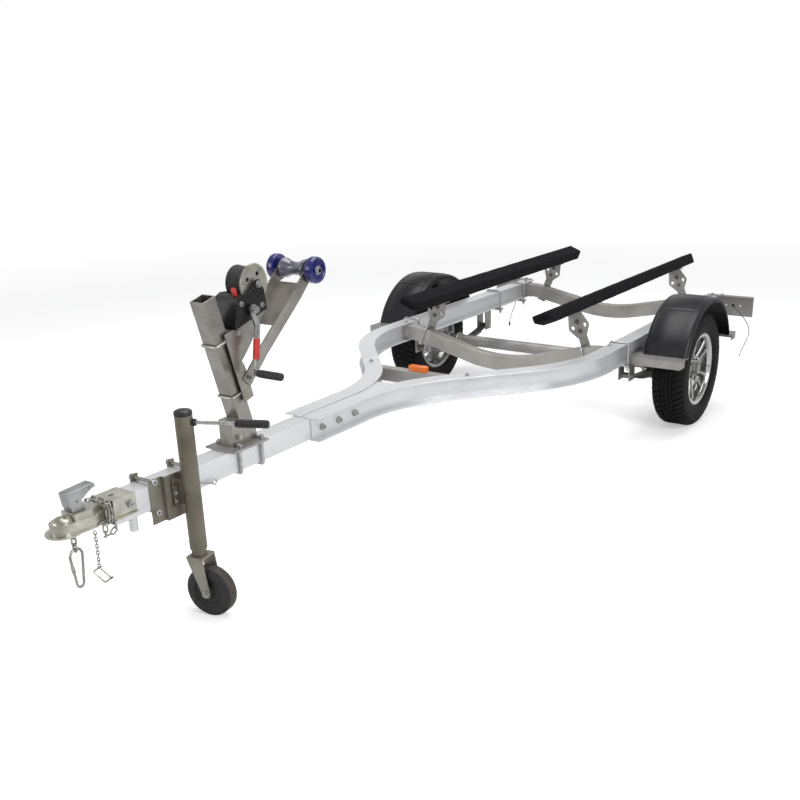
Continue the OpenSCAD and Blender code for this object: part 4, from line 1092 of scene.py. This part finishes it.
# %% Fenders
fender_low, fender_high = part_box("fender_left")
fender_r = fender_high.z - axle_z
fender_mid_y = (fender_low.y + fender_high.y) / 2
fender_half = (fender_high.y - fender_low.y) / 2
step_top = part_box("front_steps")[1].z - axle_z
rear_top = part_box("rear_steps")[1].z - axle_z
fender_steps, step_gap = 220, 0.0004


def fender_section(panel):
    """Points of (radius, distance from the middle), from the outside's middle round the bead to the inside's."""
    r, w = fender_r, fender_half
    proud = r - 0.0025 + 0.0025 * panel
    return [(proud, 0.0), (proud, w - 0.046), (r - 0.0025, w - 0.042), (r - 0.003, w - 0.020), (r - 0.0055, w - 0.010),
            (r - 0.0105, w - 0.0045), (r - 0.017, w - 0.0025), (r - 0.0225, w - 0.0022), (r - 0.0235, w),
            (r - 0.0275, w), (r - 0.028, w - 0.0025), (r - 0.0275, w - 0.0045), (r - 0.017, w - 0.0052),
            (r - 0.012, w - 0.0072), (r - 0.0078, w - 0.012), (r - 0.0060, w - 0.021), (r - 0.0058, w - 0.042),
            (r - 0.0055, 0.0)]


def crease(share):
    """How far the panel stands up, from 0 at its ends and creases to 1 between them."""
    depth = min(1.0, max(0.0, (min(share, 1 - share) - 0.06) / 0.02))
    for line in (0.30, 0.5, 0.70):
        depth = min(depth, min(1.0, abs(share - line) / 0.008) ** 2 * 0.9 + 0.1)
    return depth


def fender(side):
    """The section at each step of the way round, every point on its own arc between the two steps."""
    rings = []
    for i in range(fender_steps + 1):
        share = i / fender_steps
        ring = []
        for r, w in both_ways(fender_section(crease(share))):
            start = math.asin((step_top + step_gap) / r)
            end = math.pi - math.asin((rear_top + step_gap) / r)
            a = start + (end - start) * share
            ring.append(at(r * math.cos(a), side * (fender_mid_y + w), axle_z + r * math.sin(a)))
        rings.append(ring)
    return lofted(rings)


for side, label in named_sides:
    piece("fender_" + label + "_skin", [fender(side)], fender_plastic, slot="fender_plastic",
          replaces=["fender_" + label], smooth=40.0)
step_bolts = []
front_bolt_x, rear_bolt_x, lamp_bolt_x = 0.368, -0.372, -0.885
step_inner_y = 0.6337
lamp_bracket_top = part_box("lamp_bracket_left")[1].z
for side in both_sides:
    for y in (0.700, 0.768, 0.846):
        step_bolts.append((at(front_bolt_x, side * y, axle_z + step_top), up))
        step_bolts.append((at(rear_bolt_x, side * y, axle_z + rear_top), up))
    for x in (0.345, 0.395):
        step_bolts.append((at(x, side * step_inner_y, axle_z + step_top - 0.018), (0, -side, 0)))
    for y in (0.600, 0.655):
        step_bolts.append((at(lamp_bolt_x, side * y, lamp_bracket_top), up))
fasteners("step_bolts", step_bolts, across=0.013, head=0.006, washer=0.009, thread=0.002)

# %% [markdown]
# ## The coupler
# The coupler is one stamping with soft corners, so its edges get a much wider bevel than the
# cut plates. Its lever, pins and bolts are separate.

# %% Coupler and latch
softened("coupler", zinc, 0.0028, segments=3)
softened("coupler_latch", lever_zinc, 0.0018, segments=3)
sleeve_thickness = 0.0043
coupler_top, sleeve_out = tube_top + sleeve_thickness, 0.0443
sleeve_bolts = [(at(2.925, side * sleeve_out, rail_mid + 0.015), (0, side, 0)) for side in both_sides]
fasteners("coupler_bolts", sleeve_bolts, across=0.020, head=0.009, washer=0.013, thread=0.006)
# The sleeve's slot isn't cut through: a thin black plate laid on its top is painted shade standing in for the dark
# opening.
slot = [(-0.007, -0.004), (0.007, -0.004), (0.010, 0.0), (0.007, 0.004), (-0.007, 0.004), (-0.010, 0.0)]
piece("sleeve_slot_painted_shade", [flat_sided(slot, at(2.955, 0.0, coupler_top), forward, leftward, 0.0006)], soft_rubber)
latch_pins = []
for back, rise, half, radius in ((0.052, 0.031, 0.026, 0.0045), (0.100, 0.058, 0.024, 0.0035)):
    latch_pins.append(rod([at(ball_x - back, y, coupler_top + rise) for y in (-half, half)], radius))
piece("latch_pins", latch_pins, bolt_zinc)

# %% [markdown]
# The safety chain hangs from the coupler's lip and goes twice round its neck. It ends in a
# sprung hook: one closed rod, with a wide eye above and a narrow belly below.

# %% Safety chain and hook
chain_x, chain_y = ball_x - 0.060, -0.045
link_pitch = 0.0214
chain_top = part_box("safety_chain")[1].z - 0.0063
chain_line = [at(chain_x, chain_y, chain_top - links * link_pitch) for links in (0.5, 3.52)]
chain("hanging_chain", chain_line, chain_zinc, replaces=["safety_chain"], pitch=link_pitch, length=0.028,
      width=0.015, wire=0.003)
neck_links = {"pitch": 0.0205, "length": 0.026, "width": 0.0125, "wire": 0.0027}


def squared(value):
    """Pushes a sine or cosine towards 1, which makes a circle squarer."""
    return math.copysign(abs(value) ** 0.45, value)


def neck_loop(x, lean):
    """A closed line round the coupler's neck, a little proud of it."""
    loop = []
    for k in range(36):
        a = math.tau * k / 36
        y, z = 0.0445 * squared(math.cos(a)), 0.0330 * squared(math.sin(a))
        loop.append(at(x + lean * math.cos(a), y, rail_mid + 0.0115 + z))
    return loop


for count, (x, lean) in enumerate(((2.997, 0.004), (3.016, -0.005))):
    chain("neck_chain_" + str(count), neck_loop(x, lean), chain_zinc, closed=True, **neck_links)

hook_low, hook_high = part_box("snap_hook")
hook_mid = (hook_low + hook_high) / 2
hook_half = (hook_high.z - hook_low.z) / 2 - 0.0045
eye_half, belly_half = 0.0228, 0.0125
hook_path = []
for radius, lift, turn_from, steps in ((eye_half, hook_half - eye_half, 0.0, 18),
                                       (belly_half, -hook_half + belly_half, math.pi, 24)):
    for k in range(steps + 1):
        a = turn_from + math.pi * k / steps
        hook_path.append(hook_mid + Vector((radius * math.cos(a), 0, lift + radius * math.sin(a))))
collar = rod([hook_mid + Vector((0.0196, 0, 0.012)), hook_mid + Vector((0.0168, 0, -0.010))], 0.0060, 16)
piece("sprung_hook", [rod(hook_path, 0.0043, 14, closed=True), collar], chain_zinc, replaces=["snap_hook"])

# %% [markdown]
# On the left a fine chain carries the wire clip that keeps the latch shut.

# %% Pin chain and clip
fine_path = [at(3.070, 0.0500, 0.409), at(3.0705, 0.0505, 0.375), at(3.072, 0.051, 0.340), at(3.074, 0.0505, 0.302)]
chain("fine_chain", fine_path, chain_zinc, pitch=0.0105, length=0.0140, width=0.0075, wire=0.0016)


def on_clip(a, b):
    """A point of the clip's plane, which hangs askew from one corner."""
    return at(3.066 + 0.80 * a + 0.42 * b, 0.0505 + 0.42 * a - 0.40 * b, 0.266 + 0.16 * a + 0.80 * b)


clip_corners = ((-0.024, 0.028), (0.024, 0.028), (0.024, -0.022), (-0.026, -0.022), (-0.026, 0.022))
clip_frame = rod(rounded([on_clip(a, b) for a, b in clip_corners], 0.005), 0.0026, 8)
clip_bar = rod([on_clip(-0.034, 0.028), on_clip(-0.016, 0.028)], 0.0038)
clip_pin = rod([on_clip(-0.034, -0.022), on_clip(-0.020, -0.022)], 0.0038)
piece("pin_clip", [clip_frame, clip_bar, clip_pin], chain_zinc)

# %% [markdown]
# The end of the safety chain hangs in a loose loop below the neck.

# %% Hanging loop
sag = []
for k in range(25):
    a = math.pi * (1.0 + k / 24)
    sag.append(at(3.004 + 0.020 * math.cos(a), 0.030 + 0.010 * math.cos(2 * a), 0.402 + 0.034 * math.sin(a)))
chain("loose_chain", sag, chain_zinc, **neck_links)

# %% [markdown]
# ## The winch post
# The post stands on a plate that two U-bolts hold to the drawbar. Two more U-bolts, of round
# rod, go round the post and hold the bracket of the winch and of the roller's arms.

# %% Post clamps and bolts
base_shapes, base_nuts = [], []
base_half, base_low, base_high = 0.0475, tube_low - 0.0055, base_top + 0.013
for x in (2.328, 2.439):
    corners = ((-base_half, base_high), (-base_half, base_low), (base_half, base_low), (base_half, base_high))
    path = rounded([at(x, y, z) for y, z in corners], 0.006)
    base_shapes.append(swept(path, rectangle(0.010, 0.010), up=forward))
    base_nuts += [(at(x, y, base_top), up) for y in (-base_half, base_half)]
piece("base_u_bolts", base_shapes, bolt_zinc, bevel=0.0008, segments=1)
fasteners("base_nuts", base_nuts, across=0.019, head=0.010, washer=0.0125, thread=0.004, thread_radius=0.0052)

post_origin = on_post(0, 0, 0)
lean_along, lean_up = on_post(1, 0, 0) - post_origin, on_post(0, 0, 1) - post_origin
post_shapes, post_nuts = [], []
bow_y, bow_tail, bow_nose = 0.0347, -0.049, 0.0348
for w in (0.186, 0.378):
    corners = ((bow_tail, -bow_y), (bow_nose, -bow_y), (bow_nose, bow_y), (bow_tail, bow_y))
    post_shapes.append(rod(rounded([on_post(x, y, w) for x, y in corners], 0.008), 0.0045))
    post_nuts += [(on_post(-0.0355, y, w), -lean_along) for y in (-bow_y, bow_y)]
arm_slope = math.atan2(0.197, 0.382)


def on_arm(s, y):
    """A point measured along the roller's arm and sideways."""
    return on_post(-0.078 - s * math.cos(arm_slope), y, 0.235 + s * math.sin(arm_slope))


for s in (-0.028, 0.024):
    post_nuts += [(on_arm(s, side * 0.0500), (0, side, 0)) for side in both_sides]
post_nuts += [(on_post(-0.060, side * 0.0438, 0.388), (0, side, 0)) for side in both_sides]
post_nuts += [(at(post_x + 0.068, side * 0.0300, base_top + 0.030), (0, side, 0)) for side in both_sides]
piece("post_u_bolts", post_shapes, bolt_zinc)
fasteners("post_nuts", post_nuts, across=0.017, head=0.008, washer=0.0105, thread=0.006, thread_radius=0.0044)

# %% [markdown]
# ### Bow roller
# The boat's bow rests in a spool of smoky polyurethane. Two blue wheels, outside the arms,
# guide the hull. Both are turned shapes on the shaft that the frame gives.

# %% Roller and blue wheels
roller_centre = pivot("bow_roller_spin")
spool_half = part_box("bow_roller")[1].y
spool = [(0.0081, -spool_half), (0.0340, -spool_half), (0.0360, -spool_half + 0.002), (0.0358, -spool_half + 0.010)]
for k in range(17):
    w = -spool_half + 0.014 + (2 * spool_half - 0.028) * k / 16
    spool.append((0.0235 + 0.0115 * (w / (spool_half - 0.014)) ** 2, w))
spool += [(0.0358, spool_half - 0.010), (0.0360, spool_half - 0.002), (0.0340, spool_half), (0.0081, spool_half)]
piece("bow_spool", [turned(spool, roller_centre, steps=72)], roller_smoke, "roller", "nylon_clear",
      replaces=["bow_roller"], smooth=50.0)
disc = [(0.0081, 0.0), (0.042, 0.0), (0.0455, 0.0012), (0.047, 0.005), (0.047, 0.021), (0.0462, 0.0255),
        (0.0435, 0.0290), (0.0395, 0.0300), (0.0345, 0.0300), (0.0325, 0.0285), (0.0315, 0.0240), (0.0195, 0.0240),
        (0.0185, 0.0285), (0.0165, 0.0296), (0.0081, 0.0296)]
disc_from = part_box("roller_discs")[1].y - 0.030
discs = [turned([(r, side * (disc_from + w)) for r, w in disc], roller_centre, steps=72) for side in both_sides]
piece("guide_wheels", discs, roller_blue, "roller", "nylon_blue", replaces=["roller_discs"], smooth=36.0)
softened("roller_shaft", bolt_zinc, 0.0006)
roller_nuts = [(aside(roller_centre, side * (disc_from + 0.0298)), (0, side, 0)) for side in both_sides]
fasteners("roller_nuts", roller_nuts, across=0.0225, head=0.006, washer=0.0160, thread=0.0, thread_radius=0.0075)

# %% [markdown]
# ### Winch
# Webbing is wound on the drum as a real spiral: a thin band follows a slowly growing radius,
# turn after turn, so the side shows its layers. The gear and pinion keep their cut teeth.

# %% Winch case, gear and strap
drum_centre = pivot("winch_drum_spin")
softened("winch_frame", black_enamel, 0.0014)
softened("winch_gear", zinc, 0.0005, smooth=25.0, segments=1)
turns, per_turn = 17, 40
core_r, wound = 0.0205, 0.0360
strap_half, strap_left, strap_right = 0.0008, 0.0305, -0.0315
strap_rings = []
for i in range(turns * per_turn + 1):
    a = math.tau * i / per_turn
    r = core_r + wound * i / (turns * per_turn)
    wander = 0.0006 * math.sin(a * 0.37) + 0.0004 * math.sin(a * 1.3)
    direction = Vector((math.cos(a), 0, math.sin(a)))
    inner, outer = r - strap_half, r + strap_half
    band = ((inner, strap_right), (outer, strap_right), (outer, strap_left), (inner, strap_left))
    strap_rings.append([aside(drum_centre + direction * radius, y + wander) for radius, y in band])
piece("strap_roll", [lofted(strap_rings)], webbing, "drum", "webbing", smooth=50.0)
flange_and_core = [(0.0081, -0.037), (0.0555, -0.037), (0.058, -0.0362), (0.058, -0.0345), (0.0555, -0.034),
                   (0.0205, -0.034), (0.0205, 0.0340), (0.0081, 0.0340)]
piece("drum_core", [turned(flange_and_core, drum_centre, steps=72)], dull_steel, "drum", "webbing",
      replaces=["winch_drum"], smooth=30.0)
shaft_nuts = [(aside(drum_centre, 0.0585), leftward), (aside(drum_centre, -0.0485), rightward)]
fasteners("drum_shaft_nuts", shaft_nuts, across=0.019, head=0.007, washer=0.0125, thread=0.002)
plate_bolts = [(on_post(x, 0.056, w), leftward) for x, w in ((-0.105, 0.472), (-0.196, 0.428))]
fasteners("winch_bolts", plate_bolts, across=0.014, head=0.004, washer=0.0095, thread=0.0)
pawl = [(-0.018, -0.005), (0.014, -0.006), (0.020, 0.002), (0.012, 0.009), (-0.012, 0.006)]
piece("winch_pawl", [flat_sided(pawl, on_post(-0.112, 0.026, 0.507), lean_up, lean_along, 0.013)], signal_red,
      slot="black_steel", bevel=0.0015)

# %% [markdown]
# The crank's arm hangs down beside the post. A red sleeve sits on the arm, and the moulded
# grip at its end has shallow ribs for the fingers.

# %% Winch crank
crank_centre = pivot("winch_crank_spin")
crank_angle = math.radians(65)
crank_along = lean_along * math.cos(crank_angle) - lean_up * math.sin(crank_angle)
softened("winch_crank", bolt_zinc, 0.0008)
fasteners("crank_nut", [(aside(crank_centre, 0.0782), leftward)], "crank", across=0.022, head=0.008, washer=0.013,
          thread=0.002)
sleeve_ends = [aside(crank_centre + crank_along * reach, 0.089) for reach in (0.095, 0.165)]
piece("crank_sleeve", [swept(sleeve_ends, rectangle(0.0265, 0.0092), up=leftward)], signal_red, "crank", bevel=0.002)
grip_centre = crank_centre + crank_along * 0.211


def grip_profile(start, length, ribs=9):
    """A moulded grip: a domed end, shallow ribs and a small collar."""
    profile = [(0.0062, start), (0.0115, start), (0.0125, start + 0.002), (0.0125, start + 0.006)]
    step = (length - 0.022) / ribs
    for k in range(ribs):
        base = start + 0.010 + (length - 0.022) * k / ribs
        profile += [(0.0122, base), (0.0139, base + step * 0.2)]
        profile += [(0.0139, base + step * 0.7), (0.0122, base + step * 0.9)]
    end = start + length
    profile += [(0.0136, end - 0.009), (0.0128, end - 0.004), (0.0095, end - 0.001), (0.0005, end)]
    return profile + [(0.0005, start)]


piece("winch_grip_moulded", [turned(grip_profile(0.100, 0.108), grip_centre, steps=32)], black_plastic, "crank",
      "rubber", replaces=["winch_grip"], smooth=30.0)

# %% [markdown]
# ## The jockey wheel
# The leg slides in an outer tube and swings up on the pivot of its mount. Old paint, a black
# cap and a folding handle finish it. The handle's grip reuses the winch grip's profile.

# %% Jockey wheel
tube_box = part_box("jockey_tube")
jockey_x, jockey_y = (tube_box[0].x + tube_box[1].x) / 2, (tube_box[0].y + tube_box[1].y) / 2
softened("jockey_mount", bronzed_steel, 0.0012)
softened("jockey_fork", bronzed_steel, 0.0012)
for name in ("jockey_saddle", "jockey_tube", "jockey_leg"):
    softened(name, jockey_paint, 0.0012)
cap_low, cap_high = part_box("jockey_cap")
cap_r = (cap_high.x - cap_low.x) / 2
cap_h = cap_high.z - cap_low.z
cap_wall = 0.009
cap_profile = [(0.0005, 0.0), (cap_r, 0.0), (cap_r, cap_wall)]
for degrees in (15, 30, 45, 60, 75):
    a = math.radians(degrees)
    cap_profile.append((cap_r * math.cos(a), cap_wall + (cap_h - cap_wall) * math.sin(a)))
cap_profile += [(0.0005, cap_h)]
cap = turned(cap_profile, Vector((jockey_x, jockey_y, cap_low.z)), up, 48)
piece("jockey_cap_moulded", [cap], black_plastic, "jockey_stand", "rubber", replaces=["jockey_cap"])
handle_heading = math.radians(114)
handle_way = Vector((math.cos(handle_heading), math.sin(handle_heading), 0))
handle_root = Vector((jockey_x, jockey_y, tube_box[1].z - 0.024))
handle_nut = [(0.0005, 0.0288), (0.0120, 0.0288), (0.0120, 0.0370), (0.0095, 0.0405), (0.0005, 0.0405)]
handle_ends = [handle_root + handle_way * reach for reach in (0.0400, 0.1700)]
piece("handle_root", [turned(handle_nut, handle_root, handle_way, 24)], black_enamel, "jockey_stand")
piece("handle_rod", [rod(handle_ends, 0.006, 16)], bolt_zinc, "jockey_stand", replaces=["jockey_crank"])
piece("handle_grip", [turned(grip_profile(0.1688, 0.108), handle_root, handle_way, 32)], black_plastic,
      "jockey_stand", smooth=30.0)

# %% [markdown]
# ### Its wheel, nuts and lock
# The wheel is one turned rubber shape with a dusty tread band round it. It turns about the
# joint's own axis, which the swivel has left at an angle.

# %% Jockey tyre, nuts and lock lever
wheel_hub = pivot("jockey_wheel_spin")
wheel_way = Vector(joints["jockey_wheel_spin"]["axis"]).normalized()
tread_r = wheel_hub.z
side_w = 0.026
jockey_profile = both_ways([
    (0.0062, side_w + 0.003), (0.0175, side_w + 0.003), (0.0185, side_w + 0.002), (0.020, side_w - 0.006),
    (0.0235, side_w - 0.0075), (0.047, side_w - 0.0075), (0.051, side_w - 0.005), (0.0545, side_w),
    (tread_r - 0.014, side_w), (tread_r - 0.0085, side_w - 0.001), (tread_r - 0.0035, side_w - 0.005),
    (tread_r - 0.0010, side_w - 0.0085)])
piece("jockey_tyre", [turned(jockey_profile, wheel_hub, wheel_way, 72)], soft_rubber, "jockey_roller",
      "jockey_rubber", replaces=["jockey_wheel"], smooth=32.0)
tread_band = both_ways([(tread_r - 0.0025, 0.0190), (tread_r - 0.0004, 0.0172), (tread_r, 0.0150)])
piece("jockey_tread", [turned(tread_band, wheel_hub, wheel_way, 72)], jockey_rubber, "jockey_roller", "jockey_rubber")
axle_nuts = [(wheel_hub + wheel_way * 0.0357 * side, wheel_way * side) for side in both_sides]
fasteners("jockey_axle_nuts", axle_nuts, "jockey_caster", "jockey_paint", across=0.019, head=0.006, washer=0.012,
          thread=0.0)
mount_nuts = []
for x in (2.669, 2.825):
    for z in (tube_low - 0.011, tube_top + 0.011):
        mount_nuts += [(at(x, 0.0443, z), leftward), (at(x, -0.0483, z), rightward)]
fasteners("jockey_mount_nuts", mount_nuts, across=0.019, head=0.0085, washer=0.0120, thread=0.0)
saddle_bolts = [(at(2.7605, 0.0673, z), leftward) for z in (0.404, 0.432)]
fasteners("saddle_bolts", saddle_bolts, "jockey_stand", across=0.012, head=0.005, washer=0.008, thread=0.003)
lever = [at(2.690, 0.050, 0.432), at(2.640, 0.052, 0.4215), at(2.606, 0.054, 0.4090), at(2.585, 0.056, 0.4035)]
lever_loop = []
for k in range(20):
    a = math.tau * k / 20
    lever_loop.append(lever[-1] + Vector((0.009 * (math.cos(a) - 1), 0.0, 0.008 * math.sin(a))))
piece("lock_lever", [rod(lever, 0.0034, 10), rod(lever_loop, 0.0030, 10, closed=True)], bolt_zinc)

# %% [markdown]
# The amber lamp on the neck is moulded, so its edges are rounder than those of the steel parts.

# %% Marker lamp
softened("marker_lamp", lamp_orange, 0.003, segments=3)

# %% [markdown]
# ## Floor
# The trailer stands on a pale studio floor, which turns from a lit surface into plain white
# away from the trailer, so that no horizon shows.

# %% Floor
floor_material = bpy.data.materials.new("studio_floor")
floor_material.use_nodes = True
tree = floor_material.node_tree
tree.nodes.clear()
white_from, white_at = 2.6, 8.0


def seen_directly(tree):
    """1 for the camera's own rays and for those that passed through something clear."""
    rays = node(tree, "ShaderNodeLightPath").outputs
    return maths(tree, "MAXIMUM", rays["Is Camera Ray"], rays["Is Transmission Ray"])


distance = node(tree, "ShaderNodeVectorMath", {0: object_space(tree)}, operation="LENGTH").outputs["Value"]
far = ranged(tree, distance, white_from, white_at, interpolation_type="SMOOTHSTEP")
glow = maths(tree, "MULTIPLY", seen_directly(tree), ranged(tree, far, 0.0, 1.0, 0.42, 1.0))
matte = node(tree, "ShaderNodeBsdfDiffuse", {"Color": blended(tree, far, (0.9, 0.9, 0.9), (0.0, 0.0, 0.0))})
light = node(tree, "ShaderNodeEmission", {"Color": (1.0, 1.0, 1.0, 1.0), "Strength": glow})
both = node(tree, "ShaderNodeAddShader", {0: matte.outputs[0], 1: light.outputs[0]})
node(tree, "ShaderNodeOutputMaterial", {"Surface": both.outputs[0]})
floor_mesh = bpy.data.meshes.new("studio_floor")
floor_width = 80.0
floor_mesh.from_pydata([(a, b, 0) for a, b in rectangle(floor_width, floor_width)], [], [(0, 1, 2, 3)])
floor_mesh.materials.append(floor_material)
floor = linked("studio_floor", floor_mesh)
print("the floor is", floor_width, "m wide")

# %% [markdown]
# ## World and lights
# The world looks white to the camera and in clear things. In reflections it fades to a warm
# grey overhead, which gives bright metal something to reflect. A large soft key light comes
# from the front left, a weaker one from the right, and a broad one from straight above.

# %% World and lights
world = bpy.data.worlds.new("studio")
scene.world = world
world.use_nodes = True
tree = world.node_tree
background = tree.nodes["Background"]
direction = node(tree, "ShaderNodeTexCoord").outputs["Generated"]
height = node(tree, "ShaderNodeSeparateXYZ", {"Vector": direction}).outputs["Z"]
overhead = colours(tree, height, [(0.10, (0.95, 0.95, 0.96)), (0.75, (0.36, 0.355, 0.345))])
glossy = node(tree, "ShaderNodeLightPath").outputs["Is Glossy Ray"]
ambient = blended(tree, glossy, (0.25, 0.253, 0.26), overhead)
tree.links.new(blended(tree, seen_directly(tree), ambient, (1.0, 1.0, 1.0)), background.inputs["Color"])


def area_light(name, place, target, watts, size):
    """A square lamp at one place, turned to a target."""
    data = bpy.data.lights.new(name, "AREA")
    data.energy = watts
    data.size = size
    data.shape = "SQUARE"
    lamp = linked(name, data)
    lamp.location = place
    lamp.rotation_euler = (Vector(target) - Vector(place)).to_track_quat("-Z", "Y").to_euler()
    print(name, "light:", watts, "W")


area_light("key", (1.8, 5.6, 3.6), (0.2, 0, 0.4), 190, 3.0)
area_light("fill", (5.6, -2.6, 2.4), (0.8, 0, 0.4), 60, 2.5)
area_light("top", (-0.4, 0, 5.0), (-0.4, 0, 0), 190, 4.0)
scene.view_settings.view_transform = "Standard"
